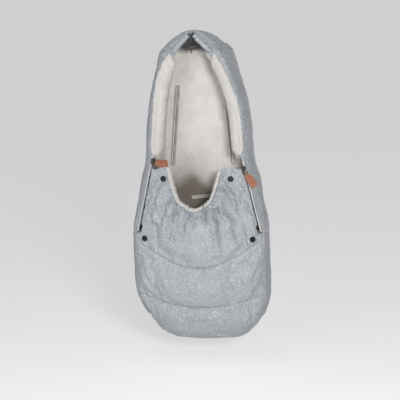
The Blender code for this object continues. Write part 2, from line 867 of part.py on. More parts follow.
def build_rims(fabric, fleece, parent):
    """The rolled fleece edge of the hood, and the fabric casing that takes over near the top."""
    for side, sign in (("left", -1), ("right", 1)):
        frames = rim_frames(sign, RIM_LOW_SHARE, RIM_HIGH_SHARE)
        add_object(f"hood_rim_{side}", sweep(frames, bead_profile(RIM_BULGE)), fleece, parent)
        frames = tube_frames(casing_centres(sign, 7))
        outside = circle_points(CASING_RADIUS, 10)
        inside = circle_points(CASING_BORE_RADIUS, 10)
        bm = tube_with_bore(frames, outside, inside)
        add_object(f"cord_casing_{side}", bm, fabric, parent)


def tube_with_bore(frames, outside, inside):
    bm = bmesh.new()
    shells = []
    for profile in (outside, inside):
        rings = [[bm.verts.new(c + a * x + o * y) for x, y in profile] for c, a, o in frames]
        for low, high in zip(rings, rings[1:]):
            for k in range(len(profile)):
                n = (k + 1) % len(profile)
                bm.faces.new((low[k], low[n], high[n], high[k]))
        shells.append(rings)
    for end in (0, -1):
        outer, inner = shells[0][end], shells[1][end]
        for k in range(len(outer)):
            n = (k + 1) % len(outer)
            bm.faces.new((outer[k], outer[n], inner[n], inner[k]))
    return bm


def smooth_line(points, step):
    """Points along a smooth curve through a route, about one step apart."""
    made = [points[0]]
    for i in range(len(points) - 1):
        before = points[max(i - 1, 0)]
        start, end = points[i], points[i + 1]
        after = points[min(i + 2, len(points) - 1)]
        count = max(1, round((end - start).length / step))
        for k in range(1, count + 1):
            t = k / count
            made.append(
                0.5
                * (
                    2 * start
                    + (end - before) * t
                    + (2 * before - 5 * start + 4 * end - after) * t**2
                    + (3 * start - before - 3 * end + after) * t**3
                )
            )
    return made


def lock_centre():
    apex = (casing_centres(-1, 7)[-1] + casing_centres(1, 7)[-1]) / 2
    return apex + Vector((0, 0, -LOCK_DROP))


def build_drawcord(finish, parent):
    """One cord: up the left casing, down through the lock, round its tail and back up the right side."""
    left = casing_centres(-1, 7)
    right = casing_centres(1, 7)
    centre = lock_centre()
    spread = Vector((0, CORD_RADIUS * 1.3, 0))
    tail = Vector((0, 0, -LOCK_RADIUS * 2.2))
    down = [
        centre + Vector((0, 0, LOCK_RADIUS * 1.5)) - spread,
        centre - spread,
        centre + tail * 0.7 - spread,
        centre + tail,
        centre + tail * 0.7 + spread,
        centre + spread,
        centre + Vector((0, 0, LOCK_RADIUS * 1.5)) + spread,
    ]
    lead = CASING_RADIUS
    left.append(left[-1] + (left[-1] - left[-2]).normalized() * lead)
    right.append(right[-1] + (right[-1] - right[-2]).normalized() * lead)
    route = left[1:] + down + list(reversed(right[1:]))
    curve = bpy.data.curves.new("drawcord", "CURVE")
    curve.dimensions = "3D"
    curve.bevel_depth = CORD_RADIUS
    curve.bevel_resolution = 1
    curve.use_fill_caps = True
    points = smooth_line(route, CORD_RADIUS * 4)
    spline = curve.splines.new("POLY")
    spline.points.add(len(points) - 1)
    for place, point in zip(spline.points, points):
        place.co = (*point, 1.0)
    curve.materials.append(finish)
    made = bpy.data.objects.new("drawcord", curve)
    bpy.context.scene.collection.objects.link(made)
    made.parent = parent


def build_lock(body_finish, steel, parent):
    """The cord lock: a barrel, a plunger with a cross slot, and the spring that drives it."""
    centre = lock_centre()
    turned = Matrix.Rotation(-math.pi / 2, 4, "Z")
    base = add_empty("lock_frame", parent, centre, turned.to_quaternion())
    half = LOCK_LENGTH / 2
    floor = -half + LOCK_WALL
    barrel = revolve(
        [
            (0, -half),
            (LOCK_RADIUS * 0.85, -half),
            (LOCK_RADIUS, -half + LOCK_WALL / 2),
            (LOCK_RADIUS, half),
            (LOCK_BORE_RADIUS, half),
            (LOCK_BORE_RADIUS, floor),
            (0, floor),
        ],
        16,
    )
    barrel = add_object("cord_lock_barrel", barrel, body_finish, base)
    slot = rounded_bar(LOCK_SLOT_WIDTH, LOCK_SLOT_LENGTH, LOCK_SLOT_LENGTH / 3)
    cut(barrel, prism(slot, -LOCK_RADIUS * 2, LOCK_RADIUS * 2, axis=2), "lock_slot_cutter", base)
    slide = add_empty("plunger_slide", base, (0, half, 0))
    reach = half - floor - 2 * PLUNGER_STROKE
    plunger = revolve(
        [
            (0, -reach),
            (PLUNGER_RADIUS, -reach),
            (PLUNGER_RADIUS, PLUNGER_STROKE + FIT_GAP),
            (PLUNGER_HEAD_RADIUS, PLUNGER_STROKE + FIT_GAP),
            (PLUNGER_HEAD_RADIUS, PLUNGER_STROKE + PLUNGER_HEAD_LENGTH * 0.7),
            (PLUNGER_HEAD_RADIUS * 0.75, PLUNGER_STROKE + PLUNGER_HEAD_LENGTH),
            (0, PLUNGER_STROKE + PLUNGER_HEAD_LENGTH),
        ],
        16,
    )
    plunger = add_object("cord_lock_plunger", plunger, body_finish, slide)
    width = PLUNGER_SLOT_WIDTH / 2
    travel = PLUNGER_STROKE + CORD_RADIUS + FIT_GAP
    slot = [
        (-width, -half - CORD_RADIUS - FIT_GAP),
        (width, -half - CORD_RADIUS - FIT_GAP),
        (width, -half + travel),
        (-width, -half + travel),
    ]
    cut(plunger, prism(slot, -LOCK_RADIUS, LOCK_RADIUS, axis=2), "plunger_slot_cutter", slide)
    build_spring(steel, base, floor, half - reach)


def build_spring(steel, parent, floor, top):
    """A compression spring between the barrel's floor and the plunger."""
    start = floor + SPRING_WIRE_RADIUS + FIT_GAP
    end = top - SPRING_WIRE_RADIUS - FIT_GAP
    count = SPRING_TURNS * SPRING_STEPS_PER_TURN
    curve = bpy.data.curves.new("cord_lock_spring", "CURVE")
    curve.dimensions = "3D"
    curve.bevel_depth = SPRING_WIRE_RADIUS
    curve.bevel_resolution = 1
    curve.use_fill_caps = True
    spline = curve.splines.new("POLY")
    spline.points.add(count)
    for i, place in enumerate(spline.points):
        turn = 2 * math.pi * i / SPRING_STEPS_PER_TURN
        along = start + (end - start) * i / count
        place.co = (SPRING_RADIUS * math.cos(turn), along, SPRING_RADIUS * math.sin(turn), 1.0)
    curve.materials.append(steel)
    made = bpy.data.objects.new("cord_lock_spring", curve)
    bpy.context.scene.collection.objects.link(made)
    made.parent = parent


# Slots


def slot_ring(half_run, thickness_low, thickness_high, upright):
    """A bound slot: a wall through both layers with a flange on each face."""
    inner = SLOT_HALF_OPENING
    outer = SLOT_HALF_OPENING + BINDING_WALL
    flange = outer + BINDING_FLANGE
    low = thickness_low - FIT_GAP
    high = thickness_high + FIT_GAP
    profile = [
        (inner, low - BINDING_FLANGE_THICKNESS),
        (flange, low - BINDING_FLANGE_THICKNESS),
        (flange, low),
        (outer, low),
        (outer, high),
        (flange, high),
        (flange, high + BINDING_FLANGE_THICKNESS),
        (inner, high + BINDING_FLANGE_THICKNESS),
    ]
    path = []
    for a, b in stadium(half_run, 1.0, 7):
        centre_a = math.copysign(half_run, a) if abs(a) >= half_run else a
        out = Vector((a - centre_a, 0, b)).normalized()
        centre = Vector((centre_a, 0, 0))
        if upright:
            out = Vector((-out.z, 0, out.x))
            centre = Vector((0, 0, centre.x))
        path.append((centre, out, Vector((0, -1, 0))))
    return sweep(path, profile, closed_path=True)


def build_slots(panels, binding, light_binding, parent):
    """Two long harness slots and the crotch strap's slot, cut through back and lining and bound."""
    hole = SLOT_HALF_OPENING + BINDING_WALL + FIT_GAP
    inside = inset(0, 0, LENGTH / 2, lining_back(0, 0.5)).y
    depth = -inside
    slots = (
        ("harness_slot_binding_left", -SLOT_X, SLOT_Z, SLOT_LENGTH, True, "back_panel_upper", binding),
        ("harness_slot_binding_right", SLOT_X, SLOT_Z, SLOT_LENGTH, True, "back_panel_upper", binding),
        ("crotch_slot_binding", 0, CROTCH_SLOT_Z, CROTCH_SLOT_LENGTH, False, "back_panel_lower",
         light_binding),
    )
    for name, x, z, length, upright, panel, finish in slots:
        half_run = length / 2 - SLOT_HALF_OPENING
        bm = slot_ring(half_run, 0, depth, upright)
        ring = add_object(name, bm, finish, parent)
        ring.location = (x, 0, z)
        outline = stadium(half_run, hole)
        if upright:
            outline = [(-b, a) for a, b in outline]
        outline = [(a + x, b + z) for a, b in outline]
        for target in (panel, "lining_back"):
            cut(panels[target], prism(outline, -DEPTH / 2, DEPTH / 2), f"{name}_{target}_cutter", parent)


# Zips


def zip_matrix(side):
    """Frame of a zip: local Z up along it, local Y into the body, local X towards the other side."""
    sign = -1 if side == "left" else 1

    def at(z):
        half, depth = edge_at(z / LENGTH)
        depth -= TAPE_SINK
        return Vector((sign * half, -depth, z))

    foot = at(ZIP_FOOT_Z)
    along = (at(ZIP_HEAD_Z) - foot).normalized()
    inward = Vector((0, 1, 0))
    inward = (inward - along * inward.dot(along)).normalized()
    across = inward.cross(along).normalized()
    matrix = Matrix((across, inward, along)).transposed().to_4x4()
    matrix.translation = foot
    return matrix


def zip_length():
    half_run = ZIP_FOOT_HALF_X - ZIP_HEAD_HALF_X
    scale = (ZIP_HEAD_Z - ZIP_FOOT_Z) / (RIM_FOOT_Z - FLAP_FOLD_Z)
    deep_run = ZIP_HEAD_DEPTH - ZIP_FOOT_DEPTH
    return math.hypot(half_run * scale, ZIP_HEAD_Z - ZIP_FOOT_Z, deep_run * scale)


def along_zip(z):
    """Distance up the zip from its foot to a height."""
    return (z - ZIP_FOOT_Z) * zip_length() / (ZIP_HEAD_Z - ZIP_FOOT_Z)


def build_zip_half(name, low, high, facing, offset, extra, finish, parent):
    """One closed solid: the outline of tape and teeth seen from the front, thick at the teeth."""
    outer = CHANNEL_HALF_WIDTH - CHANNEL_CLEARANCE + extra
    inner = CENTRE_GROOVE / 2
    half = TAPE_THICKNESS / 2
    thick = TOOTH_THICKNESS / 2
    root = inner + TOOTH_REACH * 0.6
    foot = inner + TOOTH_REACH
    teeth = []
    count = int((high - low - STOP_HEIGHT * 2) / TOOTH_PITCH)
    for i in range(count):
        z = low + STOP_HEIGHT + TOOTH_PITCH * i + offset
        teeth.append((z, z + TOOTH_HEIGHT))
    levels = [low]
    for start, end in teeth:
        levels += [start, end]
    levels.append(high)
    bm = bmesh.new()

    def ring(z, reach, swell):
        points = [
            (outer, half), (foot, half), (reach, swell), (reach, -swell), (foot, -half), (outer, -half),
        ]
        return [bm.verts.new((-facing * x, y, z)) for x, y in points]

    def join(a, b):
        for k in range(len(a)):
            n = (k + 1) % len(a)
            bm.faces.new((a[k], a[n], b[n], b[k]))

    slim = half * 1.2
    previous = ring(low, root, slim)
    bm.faces.new(list(reversed(previous)))
    for start, end in teeth:
        for z, reach, swell in ((start, root, slim), (start, inner, thick), (end, inner, thick),
                                (end, root, slim)):
            current = ring(z, reach, swell)
            join(previous, current)
            previous = current
    current = ring(high, root, slim)
    join(previous, current)
    bm.faces.new(current)
    return add_object(name, bm, finish, parent, math.radians(20))


def build_zips(tape, sides):
    """Shell side, flap side and tab side halves of both zips, each on its own body's frame."""
    length = zip_length()
    fold = along_zip(TAB_FOLD_Z)
    foot = along_zip(FLAP_TAPE_FOOT_Z)
    margin = SEAM_GAP * 2
    for side, parents in sides.items():
        facing = -1 if side == "left" else 1
        matrix = zip_matrix(side)
        below_slider = slider_rest(side) - SLIDER_LENGTH / 2 - TAPE_END_CLEARANCE
        tab_top = along_zip(min(TAB_TOP_Z, below_slider))
        extra = COVER_TAPE_EXTRA
        half = TOOTH_PITCH / 2
        pieces = (
            (f"zip_tape_{side}", 0, length, -facing, 0, 0, parents["root"]),
            (f"flap_zip_tape_{side}", foot, fold - margin, facing, half, extra, parents["flap"]),
            (f"tab_zip_tape_{side}", fold + margin, tab_top, facing, half, extra, parents["tab"]),
        )
        for name, low, high, way, offset, wider, parent in pieces:
            made = build_zip_half(name, low, high, way, offset, wider, tape, parent)
            made.matrix_basis = matrix


def slider_rest(side):
    return SLIDER_REST_LEFT_Z if side == "left" else SLIDER_REST_RIGHT_Z


def slider_outline():
    """Front view of the slider's plates: broad at the head, narrow at the tail."""
    top = SLIDER_LENGTH / 2
    corner = SLIDER_LENGTH / 8
    return [
        (-SLIDER_HALF_WIDTH + corner, top),
        (-SLIDER_HALF_WIDTH, top - corner),
        (-SLIDER_HALF_WIDTH, 0),
        (-SLIDER_TIP_HALF_WIDTH, -top + corner),
        (-SLIDER_TIP_HALF_WIDTH + corner, -top),
        (SLIDER_TIP_HALF_WIDTH - corner, -top),
        (SLIDER_TIP_HALF_WIDTH, -top + corner),
        (SLIDER_HALF_WIDTH, 0),
        (SLIDER_HALF_WIDTH, top - corner),
        (SLIDER_HALF_WIDTH - corner, top),
    ]


def build_slider(side, metal, leather, parent):
    """A slider with its two plates and web, the bail through its bridge and the leather pull."""
    matrix = zip_matrix(side)
    rest = matrix @ Matrix.Translation((0, 0, along_zip(slider_rest(side))))
    frame = add_empty(f"slider_frame_{side}", parent)
    frame.matrix_basis = rest
    plate_low = TOOTH_THICKNESS / 2 + SLIDER_CLEARANCE
    plate_high = plate_low + SLIDER_PLATE
    outline = slider_outline()
    slider = add_object(f"slider_{side}", prism(outline, -plate_high, -plate_low), metal, frame)
    add_part(slider, prism(outline, plate_low, plate_high), "rear_plate", frame)
    half = SLIDER_WEB / 2
    web_outline = [(-half, -SLIDER_LENGTH / 3), (half, -SLIDER_LENGTH / 3),
                   (half, SLIDER_LENGTH / 2.2), (-half, SLIDER_LENGTH / 2.2)]
    web = prism(web_outline, -plate_high + SLIDER_PLATE / 2, plate_high - SLIDER_PLATE / 2)
    add_part(slider, web, "web", frame)
    bridge_top = plate_high + BRIDGE_HEIGHT
    bar = BRIDGE_BAR
    run = BRIDGE_HALF_RUN
    arch = [
        (-plate_high + SLIDER_PLATE / 2, -run - bar), (-plate_high - BRIDGE_HEIGHT + bar, -run - bar),
        (-bridge_top, -run), (-bridge_top, run), (-plate_high - BRIDGE_HEIGHT + bar, run + bar),
        (-plate_high + SLIDER_PLATE / 2, run + bar), (-plate_high + SLIDER_PLATE / 2, run),
        (-bridge_top + bar, run), (-bridge_top + bar, -run), (-plate_high + SLIDER_PLATE / 2, -run),
    ]
    add_part(slider, prism(arch, -bar / 2 - half, bar / 2 + half, axis=0), "bridge", frame)
    build_pull(side, metal, leather, frame, plate_high)


def add_part(target, bm, name, parent):
    """Joins a closed shape to an object with a Boolean union."""
    part = add_object(f"{target.name}_{name}_joiner", bm, target.data.materials[0], parent)
    part.hide_render = True
    part.display_type = "WIRE"
    modifier = target.modifiers.new(name, "BOOLEAN")
    modifier.operation = "UNION"
    modifier.object = part


def loop_path(points):
    """Frames round a closed line in the XZ plane."""
    path = []
    for i, (x, z) in enumerate(points):
        before = points[i - 1]
        after = points[(i + 1) % len(points)]
        along = Vector((after[0] - before[0], 0, after[1] - before[1])).normalized()
        path.append((Vector((x, 0, z)), Vector((along.z, 0, -along.x)), Vector((0, 1, 0))))
    return path


def bail_line():
    """Front view of the wire: a round end in the slider's bridge, a straight bar for the leather."""
    corner = BAIL_WIRE_RADIUS * 1.6
    near = circle_points(BAIL_NEAR_RADIUS, 7, (0, 0), 0, math.pi)
    points = list(near)
    for sign, start in ((-1, math.pi), (1, -math.pi / 2)):
        centre = (sign * (BAIL_FAR_HALF_WIDTH - corner), -BAIL_LENGTH + corner)
        points += circle_points(corner, 4, centre, start, math.pi / 2)
    return points


def build_pull(side, metal, leather, frame, plate_high):
    """The bail is a wire loop that turns round the bridge's lower leg. The leather's tongue holds it."""
    post = BRIDGE_HALF_RUN + BRIDGE_BAR / 2
    swing = BAIL_REST_LEFT if side == "left" else BAIL_REST_RIGHT
    tilt = BAIL_TILT_LEFT if side == "left" else BAIL_TILT_RIGHT
    turn = Matrix.Rotation(swing, 4, "Y") @ Matrix.Rotation(-tilt, 4, "X")
    lift = plate_high + (BRIDGE_HEIGHT - BRIDGE_BAR + BAIL_NEAR_RADIUS * math.sin(tilt)) / 2
    bail_frame = add_empty(f"bail_frame_{side}", frame, (0, -lift, -post), turn.to_quaternion())
    wire = circle_points(BAIL_WIRE_RADIUS, 6)
    bail = sweep(loop_path(bail_line()), wire, closed_path=True)
    add_object(f"bail_{side}", bail, metal, bail_frame)
    pull_frame = add_empty(f"pull_frame_{side}", bail_frame, (0, 0, -BAIL_LENGTH))
    tongue_half = BAIL_FAR_HALF_WIDTH - BAIL_WIRE_RADIUS * 3
    ring = BAIL_WIRE_RADIUS + FIT_GAP
    start = ring + BAIL_WIRE_RADIUS * 1.5
    corner = PULL_WIDTH / 10
    body = [(x, z) for x, z in rounded_bar(PULL_WIDTH, PULL_LENGTH, corner, 3) if z < 0]
    top = PULL_LENGTH / 2
    body += [(-PULL_WIDTH / 2, top - PULL_SHOULDER), (-PULL_NECK_WIDTH / 2, top)]
    body += [(PULL_NECK_WIDTH / 2, top), (PULL_WIDTH / 2, top - PULL_SHOULDER)]
    body.sort(key=lambda point: math.atan2(point[1], point[0]))
    outline = [(x, z - top - start) for x, z in body]
    half = PULL_THICKNESS / 2
    pull = add_object(f"leather_pull_{side}", prism(outline, -half, half), leather, pull_frame)
    fold = circle_points(ring + half, 10, (0, 0), -math.pi / 6, math.pi * 4 / 3)
    fold += [(-half, -start - half), (half, -start - half)]
    add_part(pull, prism(fold, -tongue_half, tongue_half, axis=0), "tongue", pull_frame)
    bore = prism(circle_points(ring, 10), -PULL_WIDTH, PULL_WIDTH, axis=0)
    cut(pull, bore, f"pull_bore_cutter_{side}", pull_frame)


# Snaps


def surface_frame(point, u, s, t):
    """Frame on the surface: local Y into the body along the surface's normal."""
    here = point(u, s, t)
    step = girth_gap() * 4
    across = point(u + step, s, t) - here
    along = point(u, s + step, t) - here
    inward = along.cross(across).normalized()
    if inward.y < 0:
        inward = -inward
    across = (across - inward * across.dot(inward)).normalized()
    along = inward.cross(across)
    if along.z < 0:
        along = -along
        across = -across
    matrix = Matrix((across, inward, along)).transposed().to_4x4()
    matrix.translation = here
    return matrix


def build_snap(name, x, z, face_t, targets, finish, parent, hollow):
    """A snap half: a cap on the fabric, a shank through both layers and a washer on the lining."""
    s = z / LENGTH
    edge_x, _ = edge_at(s)
    u = x / edge_x
    matrix = surface_frame(cover_point, u, s, face_t)
    through = (cover_point(u, s, lining_total()) - cover_point(u, s, face_t)).length
    cap = [(0, -SNAP_THICKNESS + (SNAP_RECESS if hollow else -SNAP_RECESS))]
    rim = SNAP_RADIUS * 0.45
    cap += [(rim, cap[0][1]), (rim * 1.15, -SNAP_THICKNESS)]
    front = [
        (SNAP_RADIUS * 0.85, -SNAP_THICKNESS),
        (SNAP_RADIUS, -SNAP_THICKNESS * 0.5),
        (SNAP_RADIUS, -FIT_GAP),
        (SNAP_SHANK_RADIUS, -FIT_GAP),
    ]
    washer = through + FIT_GAP
    rear = [
        (SNAP_SHANK_RADIUS, washer),
        (SNAP_RADIUS * 0.9, washer),
        (SNAP_RADIUS * 0.9, washer + SNAP_THICKNESS * 0.5),
        (0, washer + SNAP_THICKNESS * 0.5),
    ]
    made = add_object(name, revolve(cap + front + rear, 16), finish, parent)
    made.matrix_basis = matrix
    reach = OUTER_THICKNESS * 3
    for index, target in enumerate(targets):
        hole = prism(circle_points(SNAP_SHANK_RADIUS + FIT_GAP, 12), -reach, reach)
        hole.transform(matrix)
        cut(target, hole, f"{name}_cutter_{index}", parent)


# Strap and patch


def strap_profile():
    """Side view of the strap: sewn foot, arch behind the rail, sewn foot. Points are (y, z)."""
    inner = RAIL_RADIUS + STRAP_CLEARANCE
    lift = FIT_GAP
    top = RAIL_Z + inner
    bottom = RAIL_Z - inner
    centre_y = RAIL_RADIUS + STRAP_CLEARANCE
    near, far = [], []
    for k in range(13):
        turn = math.pi / 2 - math.pi * k / 12
        for radius, line in ((inner, near), (inner + STRAP_THICKNESS, far)):
            line.append((centre_y + radius * math.cos(turn), RAIL_Z + radius * math.sin(turn)))
    reach = STRAP_FOOT_LENGTH
    rise = STRAP_THICKNESS
    near = [(lift + rise, top), *near, (lift + rise, bottom)]
    outline = [(lift, top + reach), *near, (lift, bottom - reach)]
    outline += [(lift + rise, bottom - reach), (lift + rise, bottom - rise)]
    outline += list(reversed(far))
    outline += [(lift + rise, top + rise), (lift + rise, top + reach)]
    return outline


def build_strap(webbing, parent):
    bm = prism(strap_profile(), -STRAP_WIDTH / 2, STRAP_WIDTH / 2, axis=0)
    add_object("hanging_strap", bm, webbing, parent, math.radians(40))


def build_patch(finish, parent):
    """A plain tonal patch lying on the swell of the foot channel."""
    columns, rows = 4, 4
    skins = [[], []]
    for i in range(rows + 1):
        z = PATCH_Z + PATCH_HEIGHT * (i / rows - 0.5)
        s = z / LENGTH
        for skin, lift in zip(skins, (PATCH_THICKNESS, 0.0)):
            row = []
            for k in range(columns + 1):
                x = PATCH_WIDTH * (k / columns - 0.5)
                u = x / edge_at(s)[0]
                t = -PUFF - FIT_GAP - lift
                row.append(cover_point(u, s, t))
            skin.append(row)
    add_object("blank_patch", closed_grid(*skins), finish, parent)


def clear_scene():
    for item in list(bpy.data.objects):
        bpy.data.objects.remove(item, do_unlink=True)


def build():
    clear_scene()
    fabric = material("speckled_fabric", (0.46, 0.51, 0.57), 0.85)
    fleece = material("fleece", (0.80, 0.77, 0.72), 0.95)
    binding = material("slot_binding", (0.42, 0.46, 0.50), 0.85)
    light_binding = material("light_binding", (0.80, 0.77, 0.73), 0.9)
    tape = material("zip_tape", (0.55, 0.59, 0.64), 0.75)
    metal = material("dark_metal", (0.06, 0.055, 0.05), 0.35, 0.9)
    snap_metal = material("snap_metal", (0.03, 0.03, 0.035), 0.3, 0.8)
    leather = material("tan_leather", (0.38, 0.17, 0.10), 0.6)
    webbing = material("strap_webbing", (0.40, 0.44, 0.49), 0.85)
    patch = material("patch", (0.44, 0.50, 0.52), 0.8)
    plastic = material("lock_plastic", (0.05, 0.05, 0.055), 0.45)
    steel = material("spring_steel", (0.6, 0.6, 0.6), 0.3, 1.0)
    cord = material("cord", (0.08, 0.08, 0.09), 0.8)

    rail_setback = RAIL_RADIUS + STRAP_CLEARANCE
    root = add_empty("footmuff", None, (0, -rail_setback, -RAIL_Z))
    panels = build_walls(fabric, fleece, root)
    build_slots(panels, binding, light_binding, root)
    cover = build_cover(fabric, fleece, root)
    build_rims(fabric, fleece, root)
    build_drawcord(cord, root)
    build_lock(plastic, steel, root)
    build_strap(webbing, root)
    build_patch(patch, root)

    crown_depth = DEPTH + PUFF
    flap = add_empty("flap_hinge", root, (0, -crown_depth, FLAP_FOLD_Z))
    flap_space = add_empty("flap_space", flap, (0, crown_depth, -FLAP_FOLD_Z))
    build_flap(fabric, fleece, flap_space)
    build_neck_foot(fleece, flap_space)
    tab_crown = DEPTH * CROWN_CURVE(TAB_FOLD_Z / LENGTH)
    tab_depth = tab_crown + PUFF * EDGE_PUFF_SHARE + FOLD_CLEARANCE
    sides = {}
    tabs = {}
    for side in ("left", "right"):
        hinge = add_empty(f"tab_hinge_{side}", flap_space, (0, -tab_depth, TAB_FOLD_Z))
        space = add_empty(f"tab_space_{side}", hinge, (0, tab_depth, -TAB_FOLD_Z))
        tabs[side] = build_tab(side, fabric, fleece, space)
        sides[side] = {"root": root, "flap": flap_space, "tab": space}
    bpy.context.view_layer.update()
    build_zips(tape, sides)
    for side, sign in (("left", -1), ("right", 1)):
        build_slider(side, metal, leather, root)
        build_snap(
            f"snap_socket_{side}", sign * UPPER_SNAP_X, UPPER_SNAP_Z, -PUFF * 0.62,
            (tabs[side]["outer"], tabs[side]["lining"]), snap_metal, sides[side]["tab"], True,
        )
        build_snap(
            f"snap_stud_{side}", sign * LOWER_SNAP_X, LOWER_SNAP_Z, -PUFF,
            (cover["cover_upper"], cover["lining_cover"]), snap_metal, root, False,
        )


build()
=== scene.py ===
import math

import bmesh
import bpy
import numpy as np
from mathutils import Matrix, Vector


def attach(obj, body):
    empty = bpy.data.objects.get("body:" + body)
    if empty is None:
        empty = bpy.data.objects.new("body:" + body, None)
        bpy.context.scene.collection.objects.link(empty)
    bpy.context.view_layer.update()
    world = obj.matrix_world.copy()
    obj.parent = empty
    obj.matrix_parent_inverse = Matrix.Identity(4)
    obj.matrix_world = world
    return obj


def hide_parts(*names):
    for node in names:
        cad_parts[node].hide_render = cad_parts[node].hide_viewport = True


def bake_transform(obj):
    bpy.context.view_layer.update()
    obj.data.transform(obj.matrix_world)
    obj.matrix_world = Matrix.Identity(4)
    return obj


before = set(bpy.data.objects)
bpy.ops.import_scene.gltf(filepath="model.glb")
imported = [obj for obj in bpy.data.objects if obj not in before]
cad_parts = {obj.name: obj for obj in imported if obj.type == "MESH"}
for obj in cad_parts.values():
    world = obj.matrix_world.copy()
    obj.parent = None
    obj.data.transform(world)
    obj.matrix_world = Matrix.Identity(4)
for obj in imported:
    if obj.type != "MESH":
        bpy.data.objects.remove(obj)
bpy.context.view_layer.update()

# Sizes and tables of the CAD surface, repeated from the part's source, in metres and shares
LENGTH = 0.800
HALF_WIDTH = 0.176
DEPTH = 0.140
OUTER_THICKNESS = 0.010
LAYER_GAP = 0.0022
LINING_THICKNESS = 0.0062
SEAM_GAP = 0.0005
PUFF = 0.007
WALL_PUFF = 0.0025
EDGE_PUFF_SHARE = 0.6
SLOT_LENGTH = 0.206
SLOT_X = 0.070
SLOT_Z = 0.552
SLOT_HALF_OPENING = 0.0045
CROTCH_SLOT_LENGTH = 0.062
CROTCH_SLOT_Z = 0.366
BINDING_WALL = 0.0018
FIT_GAP = 0.0005
LOWER_SEAM_Z = 0.095
UPPER_SEAM_Z = 0.201
FLAP_FOLD_Z = 0.285
TAB_FOLD_Z = 0.350
TAB_TOP_Z = 0.452
RIM_FOOT_Z = 0.482
RIM_SWELL_Z = 0.520
CASING_FOOT_Z = 0.751
LOWER_SEAM_RISE = 0.028
UPPER_SEAM_RISE = 0.066
NECK_SHIFT = -0.008
NECK_HALF_WIDTH = 0.072
NECK_FOOT_HALF_WIDTH = 0.028
NECK_CURVE_SHARE = 0.55
NECK_TRIM_BULGE = 0.007
RIM_BULGE = 0.011
HOOD_LEAN = 0.014
CASING_RADIUS = 0.0066
CASING_BORE_RADIUS = 0.0036
CASING_CLEARANCE = 0.0026
ZIP_HEAD_Z = 0.4790
ZIP_FOOT_HALF_X = 0.157
ZIP_HEAD_HALF_X = 0.111
ZIP_FOOT_DEPTH = 0.104
ZIP_HEAD_DEPTH = 0.112
CHANNEL_HALF_WIDTH = 0.0072
# Caps on each side: distance from the middle, height, and how far the padding stands out there
SNAPS = ((0.084, 0.427, PUFF * 0.62), (0.134, 0.274, PUFF))
RAIL_Z = 0.714
RAIL_SETBACK = 0.0295
FLAT_SHARE = 0.40
SIDE_SHARE = 0.75
FLAT_WIDTH_SHARE = 0.80
LEAN_START_SHARE = 0.70
LIP_SWELL_SHARE = 0.8
RIM_LOW_SHARE = 0.6100
RIM_HIGH_SHARE = 0.9265
CASING_TOP_SHARE = 0.990
FOOT_ROW_SHARE = 0.084
CROWN_ROW_SHARE = 0.950
POLE_FADE = 12
GIRTH_GAP = SEAM_GAP / (HALF_WIDTH + DEPTH)
LINING_FRONT = OUTER_THICKNESS + LAYER_GAP
COVER_THICKNESS = LINING_FRONT + LINING_THICKNESS
SIDES = (("left", -1), ("right", 1))
# Middle, length and whether it stands upright, for each slot through the back
SLOTS = {
    "harness_slot_binding_left": (-SLOT_X, SLOT_Z, SLOT_LENGTH, True),
    "harness_slot_binding_right": (SLOT_X, SLOT_Z, SLOT_LENGTH, True),
    "crotch_slot_binding": (0.0, CROTCH_SLOT_Z, CROTCH_SLOT_LENGTH, False),
}

# Height share, half width share, then depth shares of back, widest point and front crown
BODY_SHARES = np.array((
    (0.0000, 0.000, 0.464, 0.464, 0.464),
    (0.0063, 0.434, 0.314, 0.450, 0.629),
    (0.0260, 0.617, 0.171, 0.443, 0.757),
    (0.0450, 0.714, 0.100, 0.443, 0.829),
    (0.0840, 0.829, 0.029, 0.443, 0.907),
    (0.1225, 0.920, 0.000, 0.443, 0.957),
    (0.1610, 0.983, 0.000, 0.443, 0.986),
    (0.2190, 1.000, 0.000, 0.443, 1.000),
    (0.3125, 0.994, 0.000, 0.443, 1.000),
    (0.3625, 0.990, 0.000, 0.443, 0.990),
    (0.4113, 0.960, 0.000, 0.443, 0.975),
    (0.4500, 0.925, 0.000, 0.436, 0.955),
    (0.5275, 0.862, 0.000, 0.430, 0.900),
    (0.5690, 0.806, 0.000, 0.425, 0.870),
    (0.6030, 0.783, 0.000, 0.421, 0.860),
    (0.6813, 0.760, 0.000, 0.407, 0.850),
    (0.7775, 0.700, 0.000, 0.393, 0.850),
    (0.8325, 0.632, 0.000, 0.386, 0.850),
    (0.8750, 0.577, 0.000, 0.379, 0.850),
    (0.9260, 0.511, 0.000, 0.400, 0.850),
    (0.9500, 0.420, 0.014, 0.429, 0.840),
    (0.9690, 0.320, 0.057, 0.471, 0.820),
    (0.9840, 0.215, 0.157, 0.514, 0.790),
    (0.9950, 0.110, 0.343, 0.571, 0.740),
    (1.0000, 0.000, 0.607, 0.607, 0.607),
))
# Height share, half width share and depth share of the side walls' edge
EDGE_SHARES = np.array((
    (0.0000, 0.000, 0.464),
    (0.0063, 0.417, 0.500),
    (0.0260, 0.589, 0.543),
    (0.0450, 0.678, 0.571),
    (0.0840, 0.779, 0.614),
    (0.1225, 0.856, 0.657),
    (0.1610, 0.898, 0.679),
    (0.2190, 0.903, 0.700),
    (0.3125, 0.896, 0.729),
    (0.3500, 0.893, 0.740),
    (0.6100, 0.627, 0.800),
    (0.6813, 0.610, 0.786),
    (0.7775, 0.560, 0.771),
    (0.8325, 0.503, 0.764),
    (0.8750, 0.437, 0.757),
    (0.9260, 0.324, 0.750),
    (0.9500, 0.227, 0.736),
    (0.9690, 0.142, 0.721),
    (0.9840, 0.076, 0.700),
    (0.9950, 0.030, 0.671),
    (1.0000, 0.000, 0.607),
))


# Maths


def smooth(value):
    """Eases from 0 to 1 while value goes from 0 to 1."""
    value = np.clip(value, 0.0, 1.0)
    return value * value * (3 - 2 * value)


